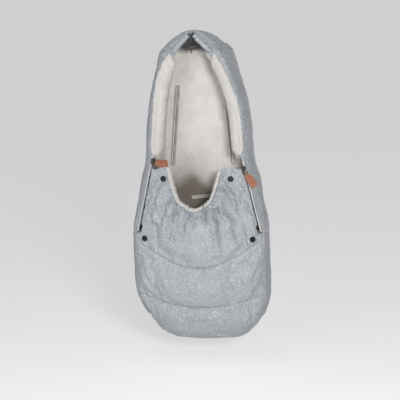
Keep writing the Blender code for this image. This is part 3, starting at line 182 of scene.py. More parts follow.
class Curve:
    """A smooth curve through two columns of a table that never overshoots them."""

    def __init__(self, table, column):
        self.xs, self.ys = table[:, 0], table[:, column]
        steps = np.diff(self.ys) / np.diff(self.xs)
        before, after = steps[:-1], steps[1:]
        total = np.where(np.abs(before + after) < 1e-9, 1.0, before + after)
        inner = np.where(before * after <= 0, 0.0, 2 * before * after / total)
        self.slopes = np.concatenate([steps[:1], inner, steps[-1:]])

    def __call__(self, x):
        i = np.clip(np.searchsorted(self.xs, x, side="left") - 1, 0, len(self.xs) - 2)
        span = self.xs[i + 1] - self.xs[i]
        t = np.clip((x - self.xs[i]) / span, 0.0, 1.0)
        return (
            (1 + 2 * t) * (1 - t) ** 2 * self.ys[i]
            + t * (1 - t) ** 2 * span * self.slopes[i]
            + t * t * (3 - 2 * t) * self.ys[i + 1]
            + t * t * (t - 1) * span * self.slopes[i + 1]
        )


HALF_WIDTH_CURVE = Curve(BODY_SHARES, 1)
BACK_CURVE = Curve(BODY_SHARES, 2)
WIDEST_CURVE = Curve(BODY_SHARES, 3)
CROWN_CURVE = Curve(BODY_SHARES, 4)
EDGE_X_CURVE = Curve(EDGE_SHARES, 1)
EDGE_DEPTH_CURVE = Curve(EDGE_SHARES, 2)


class Noise:
    """Gradient noise over two axes, from a seeded table. Values lie between about -1 and 1."""

    def __init__(self, seed, cells=64):
        angles = np.random.default_rng(seed).uniform(0, 2 * math.pi, (cells, cells))
        self.cells = cells
        self.slopes = np.stack([np.cos(angles), np.sin(angles)], axis=-1)

    def __call__(self, x, y):
        x, y = np.broadcast_arrays(np.asarray(x, float), np.asarray(y, float))
        low_x, low_y = np.floor(x), np.floor(y)
        part_x, part_y = x - low_x, y - low_y

        def corner(step_x, step_y):
            i = (low_x + step_x).astype(int) % self.cells
            k = (low_y + step_y).astype(int) % self.cells
            slope = self.slopes[i, k]
            return slope[..., 0] * (part_x - step_x) + slope[..., 1] * (part_y - step_y)

        ease_x = part_x**3 * (part_x * (part_x * 6 - 15) + 10)
        ease_y = part_y**3 * (part_y * (part_y * 6 - 15) + 10)
        low = corner(0, 0) + (corner(1, 0) - corner(0, 0)) * ease_x
        high = corner(0, 1) + (corner(1, 1) - corner(0, 1)) * ease_x
        return 1.5 * (low + (high - low) * ease_y)


# The CAD surface, for arrays of points


def edge_at(s):
    """Half width and depth of the front edge of the side walls, straight along the zips."""
    z = s * LENGTH
    share = (z - FLAP_FOLD_Z) / (RIM_FOOT_Z - FLAP_FOLD_Z)
    zipped = (share >= 0) & (share <= 1)
    half = ZIP_FOOT_HALF_X + (ZIP_HEAD_HALF_X - ZIP_FOOT_HALF_X) * share
    deep = ZIP_FOOT_DEPTH + (ZIP_HEAD_DEPTH - ZIP_FOOT_DEPTH) * share
    return (
        np.where(zipped, half, HALF_WIDTH * EDGE_X_CURVE(s)),
        np.where(zipped, deep, DEPTH * EDGE_DEPTH_CURVE(s)),
    )


def foot_sag(x, z):
    """The foot hangs a little to the right and fuller on that side."""
    low = smooth((0.165 - z) / 0.13) * smooth((z + 0.004) / 0.02)
    return low * (0.0050 + 0.0110 * smooth((x + 0.02) / 0.16))


def inset(x, depth, z, t):
    """Points drawn t inwards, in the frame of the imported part."""
    core = DEPTH / 2
    middle = LENGTH / 2
    x = x * (HALF_WIDTH - t) / HALF_WIDTH
    x = x + foot_sag(x, z)
    depth = core + (depth - core) * (core - t) / core
    z = middle + (z - middle) * (middle - t) / middle
    return np.stack(np.broadcast_arrays(x, -depth - RAIL_SETBACK, z - RAIL_Z), axis=-1)


def leaned(x, depth, s):
    """The hood leans to the left, most at its front."""
    lean = HOOD_LEAN * smooth((s - LEAN_START_SHARE) / (1 - LEAN_START_SHARE))
    return x - lean * depth / DEPTH


def wall_point(u, s, t):
    """Back and side walls: u runs from the left edge (-1) round the back (0) to the right edge (1)."""
    half = HALF_WIDTH * HALF_WIDTH_CURVE(s)
    back = DEPTH * BACK_CURVE(s)
    widest = DEPTH * WIDEST_CURVE(s)
    edge_x, edge_depth = edge_at(s)
    flat = FLAT_WIDTH_SHARE * half
    a = np.abs(u)
    turn = np.clip((a - FLAT_SHARE) / (SIDE_SHARE - FLAT_SHARE), 0, 1) * math.pi / 2
    last = np.clip((a - SIDE_SHARE) / (1 - SIDE_SHARE), 0, None) * math.pi / 2
    x = np.where(a <= FLAT_SHARE, flat * a / FLAT_SHARE, flat + (half - flat) * np.sin(turn))
    depth = np.where(a <= FLAT_SHARE, back, widest - (widest - back) * np.cos(turn))
    x = np.where(a > SIDE_SHARE, edge_x + (half - edge_x) * np.cos(last), x)
    depth = np.where(a > SIDE_SHARE, widest + (edge_depth - widest) * np.sin(last), depth)
    x = leaned(np.copysign(x, u), depth, s)
    return inset(x, depth, s * LENGTH, t)


def neck_lift(x, z):
    """Rounds the corners of the neck's U, deepens its foot and lets the tabs' tops droop a little."""
    away = np.abs(x - NECK_SHIFT)
    corner = np.exp(-(((away - 0.031) / 0.012) ** 2) - ((z - 0.354) / 0.015) ** 2)
    foot = np.exp(-((away / 0.018) ** 2) - ((z - 0.350) / 0.016) ** 2)
    top = smooth((z - 0.425) / 0.027)
    droop = 0.0035 * np.sin(x / 0.0135 + 0.8) - 0.0030 * smooth((away - 0.085) / 0.02)
    return 0.0080 * corner - 0.0050 * foot + droop * top


def cover_point(u, s, t):
    """Front cover: u runs from its left edge (-1) to its right edge (1)."""
    edge_x, edge_depth = edge_at(s)
    crown = DEPTH * CROWN_CURVE(s)
    depth = edge_depth + (crown - edge_depth) * np.cos(math.pi / 2 * u)
    x = u * edge_x
    z = s * LENGTH
    return inset(x, depth + SEAM_GAP, z + neck_lift(x, z), t)


def wall_end(s, setback, t=0.0):
    """The u at which a side wall ends, setback short of its edge, for a skin t below the surface."""
    half = HALF_WIDTH * HALF_WIDTH_CURVE(s)
    edge_x, _ = edge_at(s)
    wanted = (edge_x + setback) * HALF_WIDTH / (HALF_WIDTH - t) - edge_x
    turn = np.arccos(np.clip(wanted / np.maximum(half - edge_x, 1e-6), -1.0, 1.0))
    return SIDE_SHARE + (1 - SIDE_SHARE) * turn / (math.pi / 2)


def in_zip_zone(s):
    return (s * LENGTH >= FLAP_FOLD_Z - SEAM_GAP) & (s * LENGTH <= RIM_FOOT_Z - SEAM_GAP * 2)


def wall_stop(s):
    return np.where(in_zip_zone(s), wall_end(s, CHANNEL_HALF_WIDTH), 1 - GIRTH_GAP)


def side_point(u, s, t):
    """The padded side wall, whose edge stands square beside the zip."""
    share = (np.abs(u) - SIDE_SHARE) / (wall_stop(s) - SIDE_SHARE)
    end = wall_end(s, CHANNEL_HALF_WIDTH, np.maximum(t, 0.0))
    moved = np.copysign(SIDE_SHARE + (end - SIDE_SHARE) * share, u)
    u = np.where(in_zip_zone(s) & (np.abs(u) > SIDE_SHARE), moved, u)
    return wall_point(u, s, t)


def cover_stop(s):
    """The u at which the front ends: at the zip's channel, or at the seam below it."""
    edge_x, _ = edge_at(s)
    setback = np.where(in_zip_zone(s), CHANNEL_HALF_WIDTH, SEAM_GAP)
    return 1 - setback / np.maximum(edge_x, CHANNEL_HALF_WIDTH * 2)


def lip_swell(u, s):
    """How much thicker the layers are at the hood's lip."""
    at_lip = smooth((np.abs(u) - SIDE_SHARE) / (1 - SIDE_SHARE))
    at_hood = smooth((s * LENGTH - ZIP_HEAD_Z) / (RIM_SWELL_Z - ZIP_HEAD_Z))
    return 1 + LIP_SWELL_SHARE * at_lip * at_hood * smooth(POLE_FADE * (1 - s))


def outer_back(u, s):
    return OUTER_THICKNESS * lip_swell(u, s)


def lining_front(u, s):
    return outer_back(u, s) + LAYER_GAP


def lining_back(u, s):
    return lining_front(u, s) + LINING_THICKNESS * lip_swell(u, s)


def seam_lines(u):
    """Heights of the lower and the upper quilting seam across the front, in metres."""
    bow = 1 - np.cos(math.pi / 2 * u)
    return LOWER_SEAM_Z + LOWER_SEAM_RISE * bow, UPPER_SEAM_Z + UPPER_SEAM_RISE * bow


def across_at(u, s):
    """The place across the front in metres, and the distance from its side edge."""
    edge_x, _ = edge_at(s)
    return u * edge_x, (1 - np.abs(u)) * edge_x


def neck_half(s):
    """Half the width of the opening at the neck."""
    share = np.clip((s * LENGTH - TAB_FOLD_Z) / (TAB_TOP_Z - TAB_FOLD_Z), 0.0, 1.0)
    return NECK_FOOT_HALF_WIDTH + (NECK_HALF_WIDTH - NECK_FOOT_HALF_WIDTH) * share**NECK_CURVE_SHARE


def neck_edge(side, s):
    edge_x, _ = edge_at(s)
    return (NECK_SHIFT + side * neck_half(s)) / edge_x


# Meshes


def spread(low, high, count):
    return low + (high - low) * np.arange(count + 1) / count


def add_mesh(name, points, faces, sharp=math.radians(60)):
    """An object from points and faces, its faces turned out and its sharp edges kept."""
    mesh = bpy.data.meshes.new(name)
    mesh.from_pydata([tuple(p) for p in points.tolist()], [], faces)
    bm = bmesh.new()
    bm.from_mesh(mesh)
    bmesh.ops.remove_doubles(bm, verts=bm.verts, dist=SEAM_GAP / 50)
    bmesh.ops.recalc_face_normals(bm, faces=bm.faces)
    bm.to_mesh(mesh)
    bm.free()
    mesh.shade_smooth()
    mesh.set_sharp_from_angle(angle=sharp)
    made = bpy.data.objects.new(name, mesh)
    bpy.context.scene.collection.objects.link(made)
    return made


def grid_faces(rows, columns, start=0, flip=False):
    faces = []
    for i in range(rows - 1):
        for k in range(columns - 1):
            a = start + i * columns + k
            quad = (a, a + 1, a + columns + 1, a + columns)
            faces.append(tuple(reversed(quad)) if flip else quad)
    return faces


def closed_sheet(name, outer, inner):
    """A padded layer between two grids of points of one size, with its rims closed."""
    rows, columns = outer.shape[:2]
    count = rows * columns
    points = np.concatenate([outer.reshape(-1, 3), inner.reshape(-1, 3)])
    faces = grid_faces(rows, columns) + grid_faces(rows, columns, count, True)
    first = np.arange(columns)
    last = first + (rows - 1) * columns
    left = np.arange(rows) * columns
    right = left + columns - 1
    for line in (first, last, left, right):
        for a, b in zip(line[:-1].tolist(), line[1:].tolist()):
            faces.append((a, b, b + count, a + count))
    return add_mesh(name, points, faces)


def ring_faces(count, sides, closed_path=False, start=0):
    """Quads between rings of points that follow one another."""
    faces = []
    for i in range(count if closed_path else count - 1):
        low, high = start + i * sides, start + (i + 1) % count * sides
        for k in range(sides):
            n = (k + 1) % sides
            faces.append((low + k, low + n, high + n, high + k))
    return faces


def tube(name, centres, across, out, profile, closed_path=False):
    """A closed profile carried along frames. The profile may differ from frame to frame."""
    rings = centres[:, None] + across[:, None] * profile[..., 0:1] + out[:, None] * profile[..., 1:2]
    count, sides = rings.shape[:2]
    faces = ring_faces(count, sides, closed_path)
    if not closed_path:
        faces.append(tuple(range(sides - 1, -1, -1)))
        faces.append(tuple(range((count - 1) * sides, count * sides)))
    return add_mesh(name, rings.reshape(-1, 3), faces)


def unit(vectors):
    return vectors / np.maximum(np.linalg.norm(vectors, axis=-1, keepdims=True), 1e-9)


# Folds and puckers


def fold_line(x, z, line, width, height):
    """A soft ridge, or with a negative height a valley, along a bent line given in metres."""
    line = np.asarray(line, float)
    knots = np.arange(len(line))
    fine = np.linspace(0, len(line) - 1, 12)
    route_x, route_z = np.interp(fine, knots, line[:, 0]), np.interp(fine, knots, line[:, 1])
    best = np.full(np.shape(x), 1e9)
    along = np.zeros(np.shape(x))
    for i in range(len(fine) - 1):
        step_x, step_z = route_x[i + 1] - route_x[i], route_z[i + 1] - route_z[i]
        size = step_x**2 + step_z**2
        t = np.clip(((x - route_x[i]) * step_x + (z - route_z[i]) * step_z) / size, 0, 1)
        away = np.hypot(x - route_x[i] - t * step_x, z - route_z[i] - t * step_z)
        nearer = away < best
        best = np.where(nearer, away, best)
        along = np.where(nearer, (i + t) / (len(fine) - 1), along)
    return height * np.exp(-((best / width) ** 2)) * np.sin(math.pi * np.clip(along, 0.02, 0.98)) ** 0.8


def gathered(away, reach, start=0.002):
    """0 on an edge, near 1 just beside it and 0 again far from it."""
    return np.exp(-away / reach) * smooth(away / start)


def puckers(along, away, pitch, reach, height, noise, row=0.0):
    """Small gathers beside a seam: they fade with the distance from it."""
    wave = noise(along / pitch, row + away / (pitch * 6)) + 0.5 * noise(along / pitch * 2.1, row + 9.0)
    rise = smooth(away / (reach * 0.18))
    return height * wave * rise * np.exp(-np.abs(away) / reach)


def crumple(x, z, size, noise, row=0.0):
    """Sharp-crested small creases of thin cloth, from -1 to 1 or so."""
    first = 1 - 2.6 * np.abs(noise(x / size + row, z / (size * 1.35) + row))
    second = 1 - 2.6 * np.abs(noise((x + z) / (size * 0.62) + 4 + row, (z - x) / (size * 0.8) + row))
    return 0.65 * first + 0.35 * second


COVER_NOISE = Noise(11)
PUCKER_NOISE = Noise(23)
SOFT_NOISE = Noise(37)
FINE_NOISE = Noise(41)
FLEECE_NOISE = Noise(53)
# Height, noise, size across and up, shift across and up
COVER_SWELLS = (
    (0.0012, COVER_NOISE, 0.045, 0.060, 0, 0),
    (0.0006, COVER_NOISE, 0.017, 0.026, 7, 0),
)
SIDE_SWELLS = (
    (0.0026, SOFT_NOISE, 0.030, 0.120, 0, 0),
    (0.0014, SOFT_NOISE, 0.016, 0.055, 0, 3),
    (0.0006, COVER_NOISE, 0.010, 0.024, 0, 0),
)
BACK_SWELLS = (
    (0.0010, SOFT_NOISE, 0.030, 0.070, 0, 0),
    (0.0005, COVER_NOISE, 0.012, 0.020, 0, 0),
)
# Curls of teddy pile on slow swells
FLEECE_SWELLS = (
    (0.0014, SOFT_NOISE, 0.034, 0.055, 0, 0),
    (0.0007, FLEECE_NOISE, 0.011, 0.012, 0, 0),
    (0.00045, FLEECE_NOISE, 0.0050, 0.0052, 0, 5),
)


def swells(x, z, table, seed=0.0):
    """The sum of a table's waves of noise."""
    return sum(
        height * noise(x / size_x + shift_x + seed, z / size_z + shift_z)
        for height, noise, size_x, size_z, shift_x, shift_z in table
    )


def neck_route(share):
    """Points along the U of the neck, from its left top round its foot to its right top."""
    side = np.where(share < 0.5, -1.0, 1.0)
    up = np.abs(share - 0.5) * 2
    flat_end = 0.22
    rise = np.clip((up - flat_end) / (1 - flat_end), 0, 1)
    z = TAB_FOLD_Z + (TAB_TOP_Z - TAB_FOLD_Z) * rise**1.15
    half = np.where(up < flat_end, NECK_FOOT_HALF_WIDTH * up / flat_end, neck_half(z / LENGTH))
    return NECK_SHIFT + side * half, z


def neck_distance(x, z):
    """Distance from the neck's edge and the place along it."""
    shares = np.linspace(0, 1, 81)
    route_x, route_z = neck_route(shares)
    away = np.hypot(x[..., None] - route_x, z[..., None] - route_z)
    nearest = np.argmin(away, axis=-1)
    return np.take_along_axis(away, nearest[..., None], axis=-1)[..., 0], shares[nearest]


# Metres of girth that a whole share of u stands for near the edge of a side wall
GIRTH_REACH = 0.20
# The rim's fleece on the side panels: how far it reaches over the edge, and fades below the casing
ROLLED_FLEECE = {"side_panel_left": 0.0100, "side_panel_right": 0.0085}
ROLL_FADING = {"left": 0.045, "right": 0.135}

# Cloth simulation of the front
FRONT_FOOT_Z = 0.006
FRONT_ROWS = 152
FRONT_COLUMNS = 150
FRONT_CAP = 0.0100
FOLD_SHARE = 1.50
PATCH_Z = 0.0355
PATCH_REACH_X = 0.029
PATCH_REACH_Z = 0.027
PATCH_SINK = 0.0008
SEAM_ROWS = 0.72
SEWN_REACH = 0.0022
SNAP_REACH = 0.0075
SLACK_LEVELS = 20
CLOTH_FRAMES = 20
CLOTH_RULES = {
    "quality": 6,
    "mass": 0.12,
    "air_damping": 2.0,
    "tension_stiffness": 20.0,
    "compression_stiffness": 20.0,
    "shear_stiffness": 8.0,
    "bending_stiffness": 0.05,
    "tension_damping": 6.0,
    "compression_damping": 6.0,
    "vertex_group_mass": "sewn",
    "vertex_group_shrink": "taut",
    "shrink_min": -0.14,
    "shrink_max": 0.0,
    "use_pressure": True,
    "uniform_pressure_force": 3.0,
}

PLEATS = (
    # start on the neck's U, then sideways drift and drop in metres, width, height
    (0.05, -0.020, 0.050, 0.0050, 0.0026),
    (0.12, -0.024, 0.105, 0.0085, 0.0048),
    (0.21, -0.020, 0.066, 0.0048, 0.0034),
    (0.27, -0.018, 0.120, 0.0080, 0.0042),
    (0.36, -0.012, 0.052, 0.0042, 0.0036),
    (0.41, -0.010, 0.092, 0.0064, 0.0036),
    (0.475, 0.004, 0.034, 0.0036, 0.0036),
    (0.515, -0.008, 0.060, 0.0046, 0.0026),
    (0.575, 0.003, 0.042, 0.0040, 0.0044),
    (0.63, 0.018, 0.116, 0.0078, 0.0046),
    (0.69, 0.012, 0.048, 0.0044, 0.0036),
    (0.76, 0.034, 0.122, 0.0090, 0.0048),
    (0.86, 0.020, 0.060, 0.0050, 0.0036),
    (0.93, 0.028, 0.100, 0.0070, 0.0036),
)
LOOSE_FOLDS = (
    # x and z at the start and the end, bow sideways, width, height
    (-0.128, 0.350, -0.138, 0.235, 0.004, 0.0075, 0.0034),
    (-0.112, 0.300, -0.110, 0.225, -0.004, 0.0060, 0.0028),
    (0.118, 0.372, 0.142, 0.262, 0.004, 0.0070, 0.0036),
    (0.132, 0.395, 0.136, 0.322, 0.003, 0.0055, 0.0028),
    (0.098, 0.330, 0.118, 0.245, 0.006, 0.0060, 0.0026),
    (-0.142, 0.235, -0.112, 0.150, 0.006, 0.0080, 0.0030),
    (-0.150, 0.196, -0.098, 0.118, 0.004, 0.0085, 0.0028),
    (-0.098, 0.208, -0.070, 0.140, 0.004, 0.0070, 0.0022),
    (0.148, 0.225, 0.120, 0.165, -0.004, 0.0080, 0.0024),
    (0.060, 0.196, 0.082, 0.140, 0.003, 0.0080, 0.0018),
    (-0.020, 0.186, -0.012, 0.130, 0.003, 0.0085, 0.0016),
    (-0.132, 0.104, -0.118, 0.056, 0.003, 0.0070, 0.0020),
    (0.110, 0.098, 0.104, 0.060, -0.003, 0.0080, 0.0018),
    (0.036, 0.086, 0.040, 0.050, 0.002, 0.0075, 0.0014),
)


def cover_folds(x, z):
    """Everything that the padded front does beyond its plain swell, as a rise in metres."""
    rise = np.zeros(np.shape(x))
    away, place = neck_distance(x, z)
    x = x + 0.0050 * COVER_NOISE(z / 0.024 + 2, x / 0.040)
    for start, drift, drop, width, height in PLEATS:
        route_x, route_z = neck_route(np.array([start]))
        x0, z0 = route_x[0], route_z[0]
        out = 0.010 * np.sign(x0 - NECK_SHIFT) * min(abs(x0 - NECK_SHIFT) / 0.03, 1)
        line = (
            (x0, z0 + 0.004),
            (x0 + out * 0.6 + drift * 0.2, z0 - drop * 0.18),
            (x0 + out + drift * 0.6, z0 - drop * 0.55),
            (x0 + out + drift, z0 - drop),
        )
        rise += fold_line(x, z, line, width * 0.85, height * 1.7)
        beside = [(px + width * 1.4, pz) for px, pz in line]
        rise += fold_line(x, z, beside, width * 0.6, -height * 1.15)
    for x0, z0, x1, z1, bow, width, height in LOOSE_FOLDS:
        line = ((x0, z0), ((x0 + x1) / 2 + bow, (z0 + z1) / 2), (x1, z1))
        rise += fold_line(x, z, line, width * 0.9, height * 1.5)
        under = [(px + width * 1.2, pz - width * 0.5) for px, pz in line]
        rise += fold_line(x, z, under, width * 0.6, -height * 0.8)
    gathers = PUCKER_NOISE(place * 34, 0.5) + 0.6 * PUCKER_NOISE(place * 61, 4.5)
    rise += 0.0044 * gathers * np.exp(-away / 0.012)
    rise += swells(x, z, COVER_SWELLS)
    on_tabs = smooth((z - TAB_FOLD_Z + 0.030) / 0.040)
    creased = 0.0005 + 0.0024 * on_tabs + 0.0011 * np.exp(-away / 0.04)
    rise += creased * crumple(x, z, 0.015, COVER_NOISE, 5.0)
    rise += 0.00030 * FINE_NOISE(x / 0.006, z / 0.007)
    return rise


# Soft pieces. Each takes the place of its CAD solids


def across_fold(lower, upper, z, reach):
    """The lower and upper body and the heights of a fold line, for a piece that spans it. dress uses none of
    them: it leaves such a piece where it is made.
    """
    return lower, upper, (0.0, 0.0, z - RAIL_Z), (0.0, 0.0, z + reach - RAIL_Z)


# How far above their folds the flap and the tabs are still bending
FLAP_BEND = 0.024
TAB_BEND = 0.012
ON_FLAP = across_fold("muff", "flap", FLAP_FOLD_Z, FLAP_BEND)
ON_TABS = {side: across_fold("flap", f"tab_{side}", TAB_FOLD_Z, TAB_BEND) for side, _ in SIDES}


def net(rows, low, high, count):
    """u and s of a grid whose rows each run from low to high in even steps."""
    low = np.broadcast_to(low, rows.shape)[:, None]
    high = np.broadcast_to(high, rows.shape)[:, None]
    return low + (high - low) * np.linspace(0, 1, count + 1), np.repeat(rows[:, None], count + 1, axis=1)


def dress(obj, body, replaced, finish):
    """Gives a padded piece its finish in place of its CAD solids, and puts it on its body when it names one;
    a piece that spans a fold stays where it is made.
    """
    obj.data.materials.clear()
    obj.data.materials.append(finish)
    if isinstance(body, str):
        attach(obj, body)
    else:
        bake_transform(obj)
    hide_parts(*replaced)
    return obj


def seam_dip(away, width=0.0042, depth=1.0):
    """1 away from a seam and 0 on it, with the round shoulder of a stuffed channel."""
    return 1 - depth * np.exp(-((np.abs(away) / width) ** 1.3))


def cover_heights(u, level):
    """Heights of the level lines: 0 at the foot, 1 and 2 on the seams, 3 at the fold above them."""
    lower, upper = seam_lines(u)
    fold = np.full(np.shape(u), FLAP_FOLD_Z)
    lines = np.stack([np.zeros(np.shape(u)), lower, upper, fold]) / LENGTH
    base = np.clip(np.floor(level).astype(int), 0, 2)
    part = level - base
    low = np.take_along_axis(lines, base[None], axis=0)[0]
    high = np.take_along_axis(lines, base[None] + 1, axis=0)[0]
    return low + (high - low) * part


def puff_at(u, s):
    """How far the front stands out: full in each channel and drawn in at seams, sides and neck."""
    z = s * LENGTH
    lower, upper = seam_lines(u)
    _, from_side = across_at(u, s)
    across = np.sin(math.pi / 2 * np.clip(from_side / 0.030, 0, 1)) ** 0.6
    at_foot = np.clip(z / 0.020, 0, 1) ** 0.6
    puff = PUFF * (0.35 + 0.65 * across) * at_foot
    puff = puff * seam_dip(z - lower, 0.0062, 1.0) * seam_dip(z - upper, 0.0062, 1.0)
    above = smooth((z - FLAP_FOLD_Z + 0.030) / 0.030)
    return puff * (1 - above * (1 - EDGE_PUFF_SHARE) * 0.6)


def patch_share(x, z):
    """1 under the sewn blank patch, 0 away from it."""
    across = smooth((PATCH_REACH_X - np.abs(x)) / 0.006)
    return across * smooth((PATCH_REACH_Z - np.abs(z - PATCH_Z)) / 0.006)


def cover_rise(u, s):
    """The relief of the front over the plain CAD surface, before the cloth settles on it."""
    z = s * LENGTH
    x, from_side = across_at(u, s)
    lower, upper = seam_lines(u)
    rise = puff_at(u, s)
    near_seams = seam_dip(z - lower, 0.006, 0.9) * seam_dip(z - upper, 0.006, 0.9)
    near_side = smooth(from_side / 0.012)
    rise += FOLD_SHARE * cover_folds(x, z) * near_seams * (0.25 + 0.75 * near_side) * smooth(z / 0.02)
    for seam, row in ((lower, 3.0), (upper, 17.0)):
        away = z - seam
        rise += puckers(x, np.abs(away), 0.0100, 0.011, 0.0022, PUCKER_NOISE, row + np.sign(away) * 2)
        rise -= 0.0034 * np.exp(-((away / 0.0019) ** 2))
    at_side = puckers(z, from_side, 0.012, 0.012, 0.0012, PUCKER_NOISE, 40.0 + np.sign(u))
    rise += at_side * smooth(z / 0.03)
    under = patch_share(x, z)
    rise = rise * (1 - under) + (puff_at(u, s) - PATCH_SINK) * under
    return pressed_by_snaps(x, z, rise)


def settled(points, held, slack):
    """Runs a grid of points as cloth under pressure and gives back where they come to rest.

    held is where the cloth is sewn down. slack is the share of extra length in it, from 0 to 1
    of the most that it may have.
    """
    rows, columns = points.shape[:2]
    mesh = bpy.data.meshes.new("cloth_trial")
    mesh.from_pydata(points.reshape(-1, 3).tolist(), [], grid_faces(rows, columns))
    trial = bpy.data.objects.new("cloth_trial", mesh)
    scene = bpy.context.scene
    scene.collection.objects.link(trial)
    sewn = trial.vertex_groups.new(name="sewn")
    sewn.add(np.flatnonzero(held.ravel()).tolist(), 1.0, "REPLACE")
    taut = trial.vertex_groups.new(name="taut")
    level = np.rint((1 - slack.ravel()) * SLACK_LEVELS).astype(int)
    for step in range(1, SLACK_LEVELS + 1):
        taut.add(np.flatnonzero(level == step).tolist(), step / SLACK_LEVELS, "REPLACE")
    cloth = trial.modifiers.new("Cloth", "CLOTH")
    cloth.point_cache.frame_start = 1
    cloth.point_cache.frame_end = CLOTH_FRAMES
    rules = cloth.settings
    for key, value in CLOTH_RULES.items():
        setattr(rules, key, value)
    rules.effector_weights.gravity = 0.0
    for number in range(1, CLOTH_FRAMES + 1):
        scene.frame_set(number)
    graph = bpy.context.evaluated_depsgraph_get()
    result = np.empty(rows * columns * 3)
    trial.evaluated_get(graph).data.vertices.foreach_get("co", result)
    scene.frame_set(1)
    bpy.data.objects.remove(trial, do_unlink=True)
    bpy.data.meshes.remove(mesh)
    return result.reshape(points.shape)


def capped(moves, most):
    """No point moves further than most: longer moves are drawn in smoothly."""
    size = np.linalg.norm(moves, axis=-1, keepdims=True)
    return moves * most * np.tanh(size / most) / np.maximum(size, 1e-9)


def even_stop(s):
    """The cover's side edge without the step where the zip's channel begins."""
    edge_x, _ = edge_at(s)
    setback = SEAM_GAP + (CHANNEL_HALF_WIDTH - SEAM_GAP) * smooth((s * LENGTH - FLAP_FOLD_Z + 0.030) / 0.030)
    return 1 - setback / np.maximum(edge_x, CHANNEL_HALF_WIDTH * 2)


class SettledFront:
    """How far each place on the front moves when it is filled and sewn down, from one simulation."""

    def __init__(self):
        rows = np.linspace(FRONT_FOOT_Z, TAB_TOP_Z, FRONT_ROWS) / LENGTH
        columns = np.linspace(-1, 1, FRONT_COLUMNS)
        s = np.repeat(rows[:, None], FRONT_COLUMNS, axis=1)
        u = columns[None, :] * even_stop(s)
        z = s * LENGTH
        x, _ = across_at(u, s)
        lower, upper = seam_lines(u)
        start = cover_point(u, s, -cover_rise(u, s))
        held = (np.abs(z - lower) < SEWN_REACH) | (np.abs(z - upper) < SEWN_REACH)
        held[:2] = held[-2:] = True
        held[:, :2] = held[:, -2:] = True
        inside = (u > neck_edge(-1, s)) & (u < neck_edge(1, s)) & (z > TAB_FOLD_Z)
        held |= inside
        held |= patch_share(x, z) > 0.5
        for snap_x, snap_z, _ in SNAPS:
            held |= np.hypot(np.abs(x) - snap_x, z - snap_z) < SNAP_REACH
        away, _ = neck_distance(x, z)
        slack = 0.42 + 0.58 * np.exp(-((away / 0.050) ** 2))
        slack += 0.20 * np.exp(-(((z - upper) / 0.020) ** 2)) + 0.12 * np.exp(-(((z - lower) / 0.020) ** 2))
        slack += 0.15 * COVER_NOISE(x / 0.06 + 3, z / 0.07)
        slack = np.clip(slack, 0, 1)
        moved = settled(start, held, slack) - start
        self.moves = capped(moved, FRONT_CAP)

    def at(self, u, s):
        """The move at any place of the front, from the nearest four points."""
        row = np.clip((s * LENGTH - FRONT_FOOT_Z) / (TAB_TOP_Z - FRONT_FOOT_Z), 0, 1) * (FRONT_ROWS - 1)
        column = (np.clip(u / even_stop(s), -1, 1) + 1) / 2 * (FRONT_COLUMNS - 1)
        low_row = np.minimum(row.astype(int), FRONT_ROWS - 2)
        low_column = np.minimum(column.astype(int), FRONT_COLUMNS - 2)
        up = (row - low_row)[..., None]
        across = (column - low_column)[..., None]
        below = self.moves[low_row, low_column] * (1 - across) + self.moves[low_row, low_column + 1] * across
        above = (
            self.moves[low_row + 1, low_column] * (1 - across)
            + self.moves[low_row + 1, low_column + 1] * across
        )
        return below * (1 - up) + above * up


def pressed_by_snaps(x, z, rise):
    """The padding is pressed flat under the four caps, with short creases round them."""
    for snap_x, snap_z, level in SNAPS:
        for side in (-1, 1):
            away_x, away_z = x - side * snap_x, z - snap_z
            away = np.hypot(away_x, away_z)
            turn = np.arctan2(away_z, away_x)
            creases = 0.0010 * np.sin(turn * 7 + side) * np.exp(-(((away - 0.013) / 0.005) ** 2))
            held = np.exp(-((away / 0.0112) ** 4))
            rise = rise * (1 - held) + (level - 0.0008) * held + creases
    return rise


# Where the left pull lies once its slider is down, half its size, and how far round it the cover rises again
PULL_REST = (-0.129, 0.294)
PULL_HALF_SIZE = (0.022, 0.013)
PULL_ROOM_REACH = 0.016


def pull_room(x, z):
    """Near 1 where the cover keeps as low as the CAD's, for the left pull to lie on."""
    beside = np.maximum(np.abs(x - PULL_REST[0]) - PULL_HALF_SIZE[0], 0)
    above = np.maximum(np.abs(z - PULL_REST[1]) - PULL_HALF_SIZE[1], 0)
    return 0.95 * (1 - smooth(np.hypot(beside, above) / PULL_ROOM_REACH))


def cover_piece(name, u, s, body, replaced, finish, front):
    """A padded piece of the front: sculpted, then settled as the cloth simulation did."""
    outer = cover_point(u, s, -cover_rise(u, s)) + front.at(u, s)
    plain = cover_point(u, s, np.zeros(np.shape(u)))
    x, _ = across_at(u, s)
    outer += (plain - outer) * pull_room(x, s * LENGTH)[..., None]
    inner = cover_point(u, s, OUTER_THICKNESS * np.ones(np.shape(u)))
    return dress(closed_sheet(name, outer, inner), body, replaced, finish)


COVER_COLUMNS = 176


def edge_columns(count):
    """Girth shares from -1 to 1, closer together towards the sides."""
    part = np.linspace(-1, 1, count + 1)
    return part + 0.25 * np.sin(math.pi * part) / math.pi


